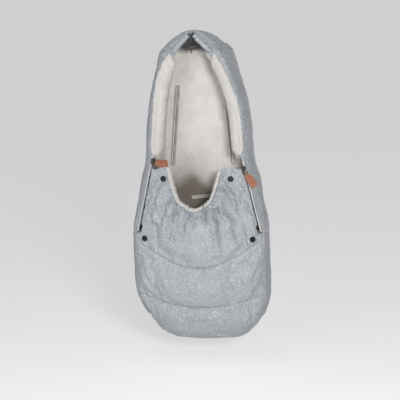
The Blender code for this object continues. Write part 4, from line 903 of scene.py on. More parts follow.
def make_cover(fabric):
    """The front: three quilted channels, the flap above them and the two tabs beside the neck."""
    front = SettledFront()
    columns = edge_columns(COVER_COLUMNS)
    levels = np.concatenate([
        low + part - SEAM_ROWS * np.sin(2 * math.pi * part) / (2 * math.pi)
        for low, part in ((0, np.arange(50) / 50), (1, np.arange(62) / 62), (2, np.arange(47) / 46))
    ])
    level, u = np.meshgrid(levels, columns, indexing="ij")
    u = u * cover_stop(cover_heights(np.zeros(np.shape(u)), level))
    s = cover_heights(u, level)
    channels = ["cover_lower", "cover_middle", "cover_upper"]
    cover_piece("cover_quilted", u, s, "muff", channels, fabric, front)
    rows = np.linspace(FLAP_FOLD_Z + 0.0001, TAB_FOLD_Z - 0.0001, 36) / LENGTH
    s, u = np.meshgrid(rows, columns, indexing="ij")
    cover_piece("cover_yoke", u * cover_stop(s), s, ON_FLAP, ["cover_flap"], fabric, front)
    rows = np.linspace(TAB_FOLD_Z + 0.0001, TAB_TOP_Z, 58) / LENGTH
    for side, sign in SIDES:
        u, s = net(rows, neck_edge(sign, rows), sign * cover_stop(rows), 59)
        cover_piece(f"cover_corner_{side}", u, s, ON_TABS[side], [f"cover_tab_{side}"], fabric, front)


def roll_fleece_over(panel, rows, to_edge, fading, fleece):
    """The fleece of the hood's rim goes on over the edge of the side panel, and fades out at the top."""
    panel.data.materials.append(fleece)
    z = rows * LENGTH
    uneven = 0.0014 * SOFT_NOISE(z / 0.012, 31.0) + 0.0016 * SOFT_NOISE(z / 0.05, 35.0)
    reach = ROLLED_FLEECE[panel.name] + uneven
    reach = reach * smooth((z - RIM_FOOT_Z) / 0.020) * np.clip((CASING_FOOT_Z - 0.006 - z) / fading, 0, 1)
    chosen = set(np.flatnonzero((np.abs(to_edge) < reach[:, None]).ravel()).tolist())
    for face in panel.data.polygons:
        if chosen.issuperset(face.vertices):
            face.material_index = 1


def make_walls(fabric, painted_shade_side_fabric, fleece, hood_lining):
    """Back, side walls, foot gusset and hood crown: one shell of four sewn panels."""
    rows = np.linspace(FOOT_ROW_SHARE, CROWN_ROW_SHARE, 230)
    half_gap = SEAM_GAP / LENGTH

    def panel(name, rows, low, high, count, relief, replaced, finish=fabric):
        u, s = net(rows, low, high, count)
        outer = side_point(u, s, -relief(u, s, np.linspace(0, 1, count + 1)))
        inner = side_point(u, s, outer_back(u, s))
        return dress(closed_sheet(name, outer, inner), "muff", replaced, finish)

    def side_relief(u, s, part):
        z = s * LENGTH
        girth = (np.abs(u) - FLAT_SHARE) * (HALF_WIDTH + DEPTH) * 0.8
        to_edge = (wall_stop(s) - np.abs(u)) * GIRTH_REACH
        seed = 60.0 + np.sign(u) * 7
        rise = WALL_PUFF * np.sin(math.pi * part) ** 0.6 + 0 * u
        fade = smooth(girth / 0.02) * smooth(to_edge / 0.006)
        rise += fade * swells(girth, z, SIDE_SWELLS, seed)
        creased = 0.0005 + 0.0011 * smooth((z - 0.45) / 0.15)
        rise += fade * creased * crumple(girth, z, 0.019, COVER_NOISE, seed)
        hood = smooth((z - RIM_FOOT_Z) / 0.10)
        rise += 0.0022 * hood * SOFT_NOISE(z / 0.013 + seed, girth / 0.12) * gathered(to_edge, 0.016)
        rise += 0.0016 * SOFT_NOISE(z / 0.010, seed) * gathered(to_edge, 0.008, 0.0015)
        rise += 0.0012 * SOFT_NOISE(z / 0.012 + 5, seed + 2) * gathered(girth, 0.009)
        return np.maximum(rise, -0.004)

    def back_relief(u, s, part):
        z = s * LENGTH
        x = u * HALF_WIDTH
        side = np.minimum(part, 1 - part) * 0.25
        fade = smooth(side / 0.02)
        flat = 1 - smooth((0.011 - np.abs(np.abs(x / FLAT_SHARE * FLAT_WIDTH_SHARE) - SLOT_X)) / 0.004)
        rise = fade * flat * swells(x, z, BACK_SWELLS)
        rise += 0.0010 * SOFT_NOISE(z / 0.012, 90.0) * gathered(side, 0.008)
        return np.clip(rise, -0.0022, 0.0018)

    def end_relief(u, s, part):
        z = s * LENGTH
        to_pole = np.minimum(s, 1 - s) * LENGTH
        away = np.minimum(np.abs(s - FOOT_ROW_SHARE), np.abs(s - CROWN_ROW_SHARE)) * LENGTH
        fade = smooth(to_pole / 0.012) * smooth((1 - np.abs(u)) / 0.05) * smooth(away / 0.004)
        at_top = smooth((s - CROWN_ROW_SHARE + half_gap) / 0.004)
        girth = u * (0.10 + 0.16 * (1 - at_top))
        rise = fade * 0.0011 * SOFT_NOISE(girth / 0.026 + 11, z / 0.030)
        rise += fade * at_top * 0.0030 * SOFT_NOISE(girth / 0.0085, to_pole / 0.060 + 5)
        rise += fade * (1 - at_top) * 0.0012 * SOFT_NOISE(girth / 0.013 + 20, z / 0.040)
        return rise

    flat, crease = FLAT_SHARE - GIRTH_GAP, FLAT_SHARE + GIRTH_GAP
    panel("back_panel", rows, -flat, flat, 84, back_relief, ["back_panel_lower", "back_panel_upper"])
    for side, sign in SIDES:
        low, high = sign * crease, sign * wall_stop(rows)
        # The side panels take a darker copy of the shell fabric: painted shade on walls that face away from
        # the light
        made = panel(
            f"side_panel_{side}", rows, low, high, 74, side_relief, [f"side_wall_{side}"], painted_shade_side_fabric
        )
        to_edge = (high - low)[:, None] * (1 - np.linspace(0, 1, 75)) * GIRTH_REACH
        roll_fleece_over(made, rows, to_edge, ROLL_FADING[side], fleece)
    ends = {
        "foot_panel": (FOOT_ROW_SHARE * np.linspace(0, 1, 38) ** 1.35, "foot_gusset"),
        "crown_panel": (1 - (1 - CROWN_ROW_SHARE) * np.linspace(1, 0, 40) ** 1.35, "hood_crown"),
    }
    for name, (end_rows, node) in ends.items():
        crown = panel(name, end_rows, GIRTH_GAP - 1, 1 - GIRTH_GAP, 170, end_relief, [node])
    # The crown's inner skin takes the dark hood lining: painted shade inside the top of the hood
    crown.data.materials.append(hood_lining)
    inside = len(crown.data.vertices) / 2
    for face in crown.data.polygons:
        if min(face.vertices) >= inside:
            face.material_index = 1


HUNG_HALF_OPENING = 0.0026
SLIM_HALF_OPENING = 0.0009
SLIM_TILT = 0.10
SLOT_SLANT = 0.09


def cut_slots(obj, fronts=(-0.03, 0.04)):
    """Cuts the three bound slots, as narrow as they hang, through a layer of the back."""
    for name, (x, z, length, upright) in SLOTS.items():
        run = length / 2 - SLOT_HALF_OPENING
        hole = (HUNG_HALF_OPENING if upright else SLIM_HALF_OPENING) + BINDING_WALL + FIT_GAP
        outline = []
        for centre, start in ((run, -math.pi / 2), (-run, math.pi / 2)):
            for turn in np.linspace(start, start + math.pi, 10).tolist():
                outline.append((centre + hole * math.cos(turn), hole * math.sin(turn)))
        if upright:
            outline = [(-b - math.copysign(SLOT_SLANT, x) * a, a) for a, b in outline]
        else:
            outline = [(a, b + SLIM_TILT * a) for a, b in outline]
        count = len(outline)
        points = np.array([
            (x + a, y - RAIL_SETBACK, z + b - RAIL_Z) for y in fronts for a, b in outline
        ])
        faces = [tuple(range(count)), tuple(range(2 * count - 1, count - 1, -1))]
        faces += [(k, (k + 1) % count, (k + 1) % count + count, k + count) for k in range(count)]
        cutter = add_mesh(f"cutter_{name}", points, faces)
        modifier = obj.modifiers.new("slot", "BOOLEAN")
        modifier.operation = "DIFFERENCE"
        modifier.object = cutter
        modifier.solver = "EXACT"
        bpy.context.view_layer.objects.active = obj
        bpy.ops.object.modifier_apply(modifier=modifier.name)
        bpy.data.objects.remove(cutter, do_unlink=True)
    obj.data.shade_smooth()
    obj.data.set_sharp_from_angle(angle=math.radians(60))


def make_linings(fleece, shaded, plain):
    """Fleece inside the shell, the cover and its flap and tabs."""

    def layer(name, point, u, s, front, back, body, replaced, share, finish):
        rise = swells(u * (HALF_WIDTH + DEPTH), s * LENGTH, FLEECE_SWELLS) * share
        inner = point(u, s, back + np.clip(rise, -0.0012, 0.0024))
        outer = point(u, s, front * np.ones(np.shape(u)))
        return dress(closed_sheet(name, outer, inner), body, [replaced], finish)

    rows = np.linspace(FOOT_ROW_SHARE, CROWN_ROW_SHARE, 210)
    foot_rows = FOOT_ROW_SHARE * np.linspace(0, 1, 30) ** 1.35
    flat, crease = FLAT_SHARE - GIRTH_GAP, FLAT_SHARE + GIRTH_GAP
    # fleece and shaded carry painted shade low inside the bag; shaded is also darker all over, as painted
    # shade on the inner side walls; plain lacks the shade low in the bag
    walls = [("fleece_back", wall_point, net(rows, -flat, flat, 78), "lining_back", 1.0, fleece)]
    for side, sign in SIDES:
        places = net(rows, sign * crease, sign * wall_stop(rows), 64)
        walls.append((f"fleece_{side}", side_point, places, f"lining_side_{side}", 1.0, shaded))
    places = net(foot_rows, GIRTH_GAP - 1, 1 - GIRTH_GAP, 120)
    walls.append(("fleece_foot", wall_point, places, "lining_foot", 0.5, fleece))
    for name, point, (u, s), replaced, share, finish in walls:
        layer(name, point, u, s, lining_front(u, s), lining_back(u, s), "muff", replaced, share, finish)
    cut_slots(bpy.data.objects["fleece_back"])
    rows = np.linspace(0, FLAP_FOLD_Z / LENGTH, 80)
    flap_rows = np.linspace(FLAP_FOLD_Z + 0.0004, TAB_FOLD_Z - 0.0004, 24) / LENGTH
    tab_rows = np.linspace(TAB_FOLD_Z + 0.0004, TAB_TOP_Z, 40) / LENGTH
    fronts = [
        ("fleece_cover", net(rows, -cover_stop(rows), cover_stop(rows), 90), "muff", "lining_cover", fleece),
        ("fleece_flap", net(flap_rows, -cover_stop(flap_rows), cover_stop(flap_rows), 90), ON_FLAP,
         "lining_flap", plain),
    ]
    for side, sign in SIDES:
        places = net(tab_rows, neck_edge(sign, tab_rows), sign * cover_stop(tab_rows), 36)
        fronts.append((f"fleece_corner_{side}", places, ON_TABS[side], f"lining_tab_{side}", plain))
    for name, (u, s), body, replaced, finish in fronts:
        layer(name, cover_point, u, s, LINING_FRONT, COVER_THICKNESS, body, replaced, 0.6, finish)


def edge_frames(point, u, s, u_beyond, t_out, t_in):
    """Frames of a rolled edge, from the two faces of the layer that it closes."""
    top = point(u, s, t_out)
    bottom = point(u, s, t_in)
    middle = (top + bottom) / 2
    across = (top - bottom) / 2
    beyond = unit(point(u_beyond, s, (t_out + t_in) / 2) - middle)
    length = np.sum(across * across, axis=-1, keepdims=True)
    beyond = unit(beyond - across * np.sum(beyond * across, axis=-1, keepdims=True) / length)
    return middle, across, beyond


def bead(bulge, sides=14):
    turn = np.linspace(-math.pi / 2, math.pi / 2, sides + 1)
    return np.stack([np.sin(turn), bulge * np.cos(turn)], axis=-1)


def ruffle(along, shift, row, fine_row):
    """How far a gathered edge swells and narrows along its run."""
    return SOFT_NOISE(along / 0.0060 + shift, row) + 0.6 * SOFT_NOISE(along / 0.0034, fine_row)


def make_rims(fleece, edging):
    """The rolled fleece edge of the hood and the gathered edge of the neck."""
    for side, sign in SIDES:
        s = np.linspace(RIM_LOW_SHARE + 0.0006, RIM_HIGH_SHARE - 0.0006, 200)
        u = np.full(s.shape, sign * (1 - GIRTH_GAP))
        u_beyond = np.full(s.shape, float(sign))
        middle, across, beyond = edge_frames(wall_point, u, s, u_beyond, 0 * s, lining_back(u, s))
        profile = np.repeat(bead(RIM_BULGE)[None], len(s), axis=0)
        turn = np.arange(profile.shape[1])[None, :]
        curl = FLEECE_NOISE(s[:, None] * LENGTH / 0.0065, turn * 0.55 + sign * 9)
        slow = SOFT_NOISE(s[:, None] * LENGTH / 0.020, turn * 0.12 + sign * 5)
        profile[..., 1] *= 1 + 0.13 * curl + 0.10 * slow
        profile[..., 0] *= 1 + 0.05 * curl * (np.abs(profile[..., 0]) > 0.3)
        ends = smooth(np.minimum(s - s[0], s[-1] - s) * LENGTH / 0.012)
        profile[..., 1] *= (0.35 + 0.65 * ends)[:, None]
        rim = tube(f"rolled_rim_{side}", middle + beyond * SEAM_GAP / 2, across, beyond, profile)
        dress(rim, "muff", [f"hood_rim_{side}"], fleece)
        rows = np.linspace(TAB_FOLD_Z + 0.0003, TAB_TOP_Z, 90) / LENGTH
        u = neck_edge(sign, rows)
        middle, across, beyond = edge_frames(
            cover_point, u, rows, u - sign * GIRTH_GAP, 0 * rows, COVER_THICKNESS + 0 * rows
        )
        swell = ruffle(rows * LENGTH, sign * 3, 2.0, 6.0 + sign)[:, None]
        profile = np.repeat(bead(NECK_TRIM_BULGE)[None], len(rows), axis=0)
        profile[..., 1] *= 0.92 + 0.62 * swell
        middle = middle + beyond * SEAM_GAP * 2
        trim = tube(f"neck_edge_{side}", middle, across * (0.92 + 0.10 * swell), beyond, profile)
        dress(trim, ON_TABS[side], [f"neck_trim_{side}"], edging)
    s = TAB_FOLD_Z / LENGTH
    edge_x = float(edge_at(s)[0])
    margin = NECK_TRIM_BULGE * 0.75 / edge_x
    u = np.linspace(float(neck_edge(-1, s)) + margin, float(neck_edge(1, s)) - margin, 60)
    rows = np.full(u.shape, s)
    top, bottom = cover_point(u, rows, 0 * u), cover_point(u, rows, COVER_THICKNESS + 0 * u)
    across = (top - bottom) / 2
    up = np.array([[0.0, 0.0, 1.0]])
    lean = np.sum(up * across, axis=-1, keepdims=True) / np.sum(across**2, axis=-1, keepdims=True)
    up = unit(up - across * lean)
    profile = np.repeat(bead(NECK_TRIM_BULGE)[None], len(u), axis=0)
    profile[..., 1] *= 0.92 + 0.55 * ruffle(u * edge_x, 0, 12.0, 16.0)[:, None]
    foot = tube("neck_edge_foot", (top + bottom) / 2 + up * SEAM_GAP / 2, across, up, profile)
    dress(foot, "flap", ["neck_trim_foot"], edging)


# Outline of a binding at each face of the layer: outwards, deeper, and how far it hangs shut
LOW_LIP = (
    (0.0, 0.0, 0.5), (0.0006, -0.0009, 0.3), (BINDING_WALL, -0.0012, 0.0),
    (BINDING_WALL + 0.0014, -0.0007, 0.0), (BINDING_WALL + 0.0018, 0.0005, 0.0), (BINDING_WALL, 0.0012, 0.0),
)
HIGH_LIP = (
    (BINDING_WALL, -0.0012, 0.0), (BINDING_WALL + 0.0018, -0.0005, 0.0), (BINDING_WALL + 0.0014, 0.0007, 0.0),
    (BINDING_WALL, 0.0012, 0.0), (0.0006, 0.0009, 0.3), (0.0, 0.0, 0.6),
)
LIP_BEYOND_LAYER = 0.0017
# Where along a slot its lips gape: place and width as shares of half its length, and how much
GAPES = ((0.62, 0.16, 1.0), (-0.62, 0.14, 0.8))


def make_bindings(grey, pale):
    """Bias-bound slits that hang nearly shut, with two places where their lips gape."""
    depth = float(-RAIL_SETBACK - inset(0.0, 0.0, LENGTH / 2, lining_back(0.0, 0.5))[1])
    low, high = -LIP_BEYOND_LAYER, depth + LIP_BEYOND_LAYER
    looks = {
        # The right slot's binding is pale, unlike the left's grey twill: painted light that hides the shade
        # of its slit
        "harness_slot_binding_left": (grey, "slot_binding", 1.0),
        "harness_slot_binding_right": (pale, "slot_binding", 0.0),
        "crotch_slot_binding": (pale, "light_binding", 0.7),
    }
    for name, (finish, slot, open_share) in looks.items():
        x, z, length, upright = SLOTS[name]
        run = length / 2 - SLOT_HALF_OPENING
        inner = HUNG_HALF_OPENING if upright else SLIM_HALF_OPENING
        half = np.concatenate([np.linspace(-run, run, 90), np.full(9, run)])
        turn = np.concatenate([np.zeros(90), np.linspace(0, math.pi, 11)[1:-1]])
        along = np.concatenate([half, -half])
        angle = np.concatenate([turn, turn + math.pi]) - math.pi / 2
        out = np.stack([np.cos(angle), np.zeros(len(angle)), np.sin(angle)], axis=-1)
        bulge = smooth((run - np.abs(along)) / 0.02)
        gape = sum(
            level * np.exp(-(((along / run - place) / width) ** 2)) for place, width, level in GAPES
        )
        shut = bulge * (inner - 0.0005) * (1 - 1.08 * open_share * np.clip(gape, 0, 1))
        shut = shut + 0.00015 * SOFT_NOISE(along / 0.006, open_share * 3 + 0.4)
        lips = [(a, end + b, share) for end, lip in ((low, LOW_LIP), (high, HIGH_LIP)) for a, b, share in lip]
        across, depths, follow = np.array(lips + [(0.0, (low + high) / 2, 1.0)]).T
        profile = np.stack(np.broadcast_arrays(inner + across - shut[:, None] * follow, -depths), axis=-1)
        centres = np.stack([along, 0 * along, 0 * along], axis=-1)
        if upright:
            centres = centres[:, [1, 2, 0]]
            centres[:, 0] -= math.copysign(SLOT_SLANT, x) * centres[:, 2]
            out = np.stack([-out[:, 2], out[:, 1], out[:, 0]], axis=-1)
        else:
            centres[:, 2] += SLIM_TILT * centres[:, 0]
        centres = centres + np.array([x, -RAIL_SETBACK, z - RAIL_Z])
        ring = tube(f"bound_{name}", centres, out, np.array([[0.0, 1.0, 0.0]]), profile, True)
        dress(ring, "muff", [name], finish)
        ring.data.materials.append(pale)
        sides = len(across)
        inside = {0, sides - 3, sides - 2, sides - 1}
        for face in ring.data.polygons:
            if {vertex % sides for vertex in face.vertices} <= inside:
                face.material_index = 1


def casing_centres(sign, count):
    s = spread(CASING_FOOT_Z / LENGTH, CASING_TOP_SHARE, count)
    edge = wall_point(np.full(s.shape, float(sign)), s, np.full(s.shape, OUTER_THICKNESS / 2))
    return edge + np.array([0.0, -(CASING_RADIUS + CASING_CLEARANCE), 0.0])


def make_casings(fabric):
    """The gathered fabric tunnel that the drawcord runs in."""
    for side, sign in SIDES:
        route = casing_centres(sign, 7)
        knots = np.arange(len(route))
        fine = np.linspace(0, len(route) - 1, 150)
        centres = np.stack([np.interp(fine, knots, route[:, axis]) for axis in range(3)], axis=-1)
        for _ in range(12):
            centres[1:-1] = (centres[:-2] + centres[1:-1] * 2 + centres[2:]) / 4
        along = unit(np.gradient(centres, axis=0))
        out = np.repeat(np.array([[0.0, -1.0, 0.0]]), len(centres), axis=0)
        across = unit(np.cross(along, out))
        out = unit(np.cross(across, along))
        lengths = np.concatenate([[0], np.cumsum(np.linalg.norm(np.diff(centres, axis=0), axis=1))])
        turn = 2 * math.pi * np.arange(28) / 28
        seed = sign * 13
        fold = SOFT_NOISE(lengths[:, None] / 0.0060 + 0.5 * np.sin(turn)[None, :], turn[None, :] / 2.6 + seed)
        small = FINE_NOISE(lengths[:, None] / 0.0028, turn[None, :] / 1.2 + seed)
        radius = CASING_RADIUS * (1.0 + 0.24 * fold + 0.09 * small)
        radius = radius * (0.62 + 0.38 * smooth(lengths / 0.022))[:, None]
        radius = np.maximum(radius, CASING_BORE_RADIUS + 0.0006)
        outside = np.stack([radius * np.cos(turn), radius * np.sin(turn)], axis=-1)
        inside = CASING_BORE_RADIUS * np.stack([np.cos(turn), np.sin(turn)], axis=-1)
        inside = np.broadcast_to(inside, outside.shape)
        rings = [
            centres[:, None] + across[:, None] * shape[..., 0:1] + out[:, None] * shape[..., 1:2]
            for shape in (outside, inside)
        ]
        count, sides = rings[0].shape[:2]
        start = count * sides
        faces = ring_faces(count, sides) + ring_faces(count, sides, start=start)
        for row in (0, start - sides):
            for k in range(sides):
                n = (k + 1) % sides
                faces.append((row + k, row + n, start + row + n, start + row + k))
        points = np.concatenate([ring.reshape(-1, 3) for ring in rings])
        made = add_mesh(f"casing_{side}", points, faces, math.radians(50))
        dress(made, "muff", [f"cord_casing_{side}"], fabric)


# Materials

TEETH_REACH = 0.0047
# Teeth tones of each zip, dark and light: the right's are paler as a painted highlight, the left's darker as
# painted shade
TEETH_LIT_AND_SHADED_TONES = {"left": (0.43, 0.56), "right": (0.56, 0.76)}
# Painted shade low inside the bag: its top, how far down it deepens, its colour, its middle, half width and
# narrowing across, its uneven edge and its ramp
PAINTED_SHADE_TOP_Z = 0.500
PAINTED_SHADE_REACH = 0.130
PAINTED_SHADE_FLEECE = (0.150, 0.122, 0.096)
PAINTED_SHADE_MIDDLE_X, PAINTED_SHADE_HALF_WIDTH, PAINTED_SHADE_NARROWING = -0.022, 0.040, 3.2
PAINTED_SHADE_BLOTCHES = 0.55
PAINTED_SHADE_SHARES = ((0.0, 0.0), (0.40, 0.14), (0.62, 0.30), (0.86, 0.90))
# Flecks: cells in a metre, radius as a share of a cell, share left bare, strength
SPECKS = (
    (420.0, 0.26, 0.52, 0.90),
    (640.0, 0.28, 0.55, 0.55),
    (250.0, 0.23, 0.55, 1.00),
)
SPECK_COLOUR = (0.86, 0.89, 0.92)


class Nodes:
    """Short hand for building the node tree of a material or world."""

    def __init__(self, owner):
        owner.use_nodes = True
        self.owner, self.tree = owner, owner.node_tree

    def plug(self, node, inputs):
        """Links sockets and sets plain values, by an input's name or number."""
        for key, value in inputs.items():
            socket = node.inputs[key]
            if isinstance(value, bpy.types.NodeSocket):
                self.tree.links.new(value, socket)
            else:
                socket.default_value = (*value, 1.0) if socket.type == "RGBA" else value
        return node

    def add(self, kind, inputs, **settings):
        node = self.tree.nodes.new("ShaderNode" + kind)
        for key, value in settings.items():
            setattr(node, key, value)
        return self.plug(node, inputs)

    def noise(self, scale, detail=2.0, rough=0.5):
        inputs = {"Vector": self.place, "Scale": scale, "Detail": detail, "Roughness": rough}
        return self.add("TexNoise", inputs).outputs["Fac"]

    def wave(self, scale, direction, distortion):
        inputs = {"Vector": self.place, "Scale": scale, "Distortion": distortion, "Detail": 1.0}
        return self.add("TexWave", inputs, bands_direction=direction).outputs["Fac"]

    def cells(self, scale, feature="F1"):
        return self.add("TexVoronoi", {"Vector": self.place, "Scale": scale}, feature=feature).outputs

    def ramp(self, source, *stops):
        node = self.add("ValToRGB", {"Fac": source})
        elements = node.color_ramp.elements
        while len(elements) < len(stops):
            elements.new(0.5)
        for element, (position, colour) in zip(elements, stops):
            element.position = position
            element.color = (*np.broadcast_to(colour, 3).tolist(), 1.0)
        return node.outputs["Color"]

    def maths(self, kind, a, b=0.0):
        return self.add("Math", {0: a, 1: b}, operation=kind).outputs[0]

    def scaled(self, value, factor, offset):
        return self.maths("ADD", self.maths("MULTIPLY", value, factor), offset)

    def vectors(self, kind, inputs):
        return self.add("VectorMath", inputs, operation=kind).outputs

    def mix(self, share, a, b):
        return self.add("Mix", {0: share, 6: a, 7: b}, data_type="RGBA").outputs[2]

    def bump(self, height, distance, strength, below=None):
        inputs = {"Height": height, "Distance": distance, "Strength": strength}
        return self.add("Bump", inputs | ({"Normal": below} if below else {})).outputs["Normal"]

    def seen(self):
        """One for what camera, gloss and glass look at, nought for the light that falls on things."""
        path = self.add("LightPath", {}).outputs
        share = path["Is Camera Ray"]
        for ray in ("Is Glossy Ray", "Is Transmission Ray"):
            share = self.maths("MAXIMUM", share, path[ray])
        return share


class Finish(Nodes):
    """A material, with its Principled shader."""

    def __init__(self, name, colour, roughness, metallic=0.0):
        super().__init__(bpy.data.materials.new(name))
        self.shader = self.tree.nodes["Principled BSDF"]
        self.plug(self.shader, {"Base Color": colour, "Roughness": roughness, "Metallic": metallic})
        self.place = self.add("TexCoord", {}).outputs["Object"]

    def done(self, colour, normal, roughness=None, **fixed):
        inputs = {"Base Color": colour, "Normal": normal}
        if roughness:
            inputs["Roughness"] = roughness
        self.plug(self.shader, inputs | {key.replace("_", " "): value for key, value in fixed.items()})
        return self.owner


def tints(base, *factors):
    """Darker and lighter versions of a colour."""
    return [tuple(min(v * factor, 1.0) for v in base) for factor in factors]


def speckled_fabric(name="speckled_shell", base=(0.385, 0.412, 0.442), specks=1.0):
    """Blue-grey plain weave with small pale flecks."""
    n = Finish(name, base, 0.62)
    dark, light = tints(base, 0.88, 1.10)
    colour = n.ramp(n.noise(26.0, 3.0, 0.6), (0.30, dark), (0.70, light))
    colour = n.mix(0.35, colour, n.ramp(n.noise(900.0, 1.0), (0.35, dark), (0.65, light)))
    for scale, radius, share, level in SPECKS:
        cells = n.cells(scale)
        chosen = n.maths("GREATER_THAN", n.ramp(cells["Color"], (0.0, 0.0), (1.0, 1.0)), share)
        dot = n.maths("LESS_THAN", cells["Distance"], radius)
        mask = n.maths("MULTIPLY", n.maths("MULTIPLY", chosen, dot), level * specks)
        colour = n.mix(mask, colour, SPECK_COLOUR)
    normal = n.bump(n.maths("ADD", n.wave(520.0, "X", 0.4), n.wave(520.0, "Z", 0.4)), 0.00012, 0.6)
    normal = n.bump(n.noise(160.0, 3.0, 0.6), 0.0007, 0.35, normal)
    rough = n.scaled(n.noise(60.0), 0.16, 0.50)
    return n.done(colour, normal, rough, Sheen_Weight=0.25, Sheen_Roughness=0.45, Specular_IOR_Level=0.42)


def teddy_fleece(name="teddy_fleece", base=(0.720, 0.690, 0.655), deep=False):
    """Cream teddy pile: soft curls with a strong sheen. With deep set, painted shade makes it darker and
    browner low down inside the bag, where the light does not reach.
    """
    n = Finish(name, base, 0.95)
    dark, light = tints(base, 0.86, 1.06)
    colour = n.ramp(n.noise(30.0, 3.0, 0.6), (0.32, dark), (0.62, light))
    curls = n.cells(240.0)["Distance"]
    colour = n.mix(0.45, colour, n.ramp(curls, (0.0, light), (0.55, base), (0.95, dark)))
    if deep:
        # Painted shade: below a height and towards the middle the fleece turns dark brown, with an uneven
        # edge
        across, _, height = n.add("SeparateXYZ", {0: n.place}).outputs
        depth = n.maths("MULTIPLY", n.maths("SUBTRACT", PAINTED_SHADE_TOP_Z - RAIL_Z, height), 1 / PAINTED_SHADE_REACH)
        blotches = n.maths("MULTIPLY", n.maths("SUBTRACT", n.noise(11.0), 0.5), PAINTED_SHADE_BLOTCHES)
        depth = n.maths("ADD", depth, blotches)
        aside = n.maths("ABSOLUTE", n.maths("ADD", across, -PAINTED_SHADE_MIDDLE_X))
        gathered = n.maths("MULTIPLY", n.maths("SUBTRACT", PAINTED_SHADE_HALF_WIDTH, aside), PAINTED_SHADE_NARROWING)
        depth = n.maths("ADD", depth, gathered)
        colour = n.mix(n.ramp(depth, *PAINTED_SHADE_SHARES), colour, PAINTED_SHADE_FLEECE)
    normal = n.bump(curls, 0.0011, 0.75)
    normal = n.bump(n.noise(420.0, 4.0, 0.7), 0.0009, 0.6, normal)
    return n.done(colour, normal, Sheen_Weight=0.45, Sheen_Roughness=0.6, Specular_IOR_Level=0.2)


def zip_tape(side):
    """Woven grey zip tape with pale moulded teeth along the line where its halves meet."""
    n = Finish(f"zip_tape_weave_{side}", (0.37, 0.40, 0.435), 0.55)
    sign = dict(SIDES)[side]
    low = Vector((sign * ZIP_FOOT_HALF_X, -ZIP_FOOT_DEPTH - RAIL_SETBACK, FLAP_FOLD_Z - RAIL_Z))
    high = Vector((sign * ZIP_HEAD_HALF_X, -ZIP_HEAD_DEPTH - RAIL_SETBACK, RIM_FOOT_Z - RAIL_Z))
    away = n.vectors("SUBTRACT", {0: n.place, 1: low})["Vector"]
    cross = n.vectors("CROSS_PRODUCT", {0: away, 1: (high - low).normalized()})["Vector"]
    at_teeth = n.maths("LESS_THAN", n.vectors("LENGTH", {0: cross})["Value"], TEETH_REACH)
    rib = n.wave(900.0, "Z", 0.2)
    tape = n.ramp(rib, (0.25, (0.33, 0.36, 0.39)), (0.75, (0.46, 0.49, 0.52)))
    blotches = n.ramp(n.noise(300.0, 3.0), (0.3, (0.30, 0.33, 0.36)), (0.7, (0.48, 0.51, 0.54)))
    tape = n.mix(0.3, tape, blotches)
    # The same teeth in two tones: painted highlight on the right, painted shade on the left
    shade, light = TEETH_LIT_AND_SHADED_TONES[side]
    colour = n.mix(at_teeth, tape, n.ramp(n.noise(700.0), (0.3, shade), (0.7, light)))
    return n.done(colour, n.bump(rib, 0.0001, 0.6), Specular_IOR_Level=0.5)


def metal(name, base, roughness, worn):
    """Dark plated metal, rubbed a little paler in places."""
    n = Finish(name, base, roughness, 0.9)
    wear = n.ramp(n.noise(420.0, 4.0, 0.7), (0.52, 0.0), (0.74, 1.0))
    colour = n.mix(n.maths("MULTIPLY", wear, 0.45), base, worn)
    rough = n.scaled(n.noise(900.0), 0.22, roughness - 0.08)
    return n.done(colour, n.bump(n.noise(1300.0), 0.00005, 0.4), rough)


def pull_leather():
    """Tan leather with a fine pebbled grain, darker in the creases of the grain."""
    n = Finish("tan_leather_grain", (0.40, 0.150, 0.078), 0.52)
    dark, light, deepest = (0.255, 0.088, 0.046), (0.455, 0.185, 0.100), (0.17, 0.058, 0.032)
    tone = n.ramp(n.noise(120.0, 4.0, 0.65), (0.30, dark), (0.72, light))
    crease = n.ramp(n.cells(1500.0, "DISTANCE_TO_EDGE")["Distance"], (0.0, 0.0), (0.16, 1.0))
    colour = n.mix(n.maths("MULTIPLY", n.maths("SUBTRACT", 1.0, crease), 0.35), tone, deepest)
    normal = n.bump(crease, 0.00016, 0.55)
    normal = n.bump(n.noise(240.0, 3.0), 0.0004, 0.3, normal)
    return n.done(colour, normal, n.scaled(n.noise(150.0), 0.2, 0.42), Specular_IOR_Level=0.45)


def woven(name, base, scale, depth, ribs="X"):
    """A ribbed or twilled tape."""
    n = Finish(name, base, 0.75)
    dark, light = tints(base, 0.72, 1.22)
    along = n.wave(scale, ribs, 0.3)
    both = n.maths("MULTIPLY", n.maths("ADD", along, n.wave(scale * 0.8, "DIAGONAL", 0.2)), 0.5)
    colour = n.ramp(both, (0.2, dark), (0.8, light))
    colour = n.mix(0.35, colour, n.ramp(n.noise(70.0, 3.0), (0.3, dark), (0.7, light)))
    return n.done(colour, n.bump(both, depth, 0.7), Sheen_Weight=0.2, Specular_IOR_Level=0.35)


def moulded(name, base):
    """Moulded plastic with a fine spark-eroded texture."""
    n = Finish(name, base, 0.42)
    colour = n.ramp(n.noise(500.0, 3.0), (0.35, base), (0.75, tints(base, 1.5)[0]))
    rough = n.scaled(n.noise(800.0), 0.2, 0.34)
    return n.done(colour, n.bump(n.noise(2200.0), 0.00004, 0.5), rough)


def backdrop(name, colour):
    """Matt pale paper. What the camera and glossy things see of it glows a little."""
    n = Finish(name, colour, 0.9)
    glow = n.maths("MULTIPLY", n.seen(), BACKDROP_GLOW)
    n.plug(n.shader, {"Emission Color": colour, "Emission Strength": glow, "Specular IOR Level": 0.0})
    return n.owner


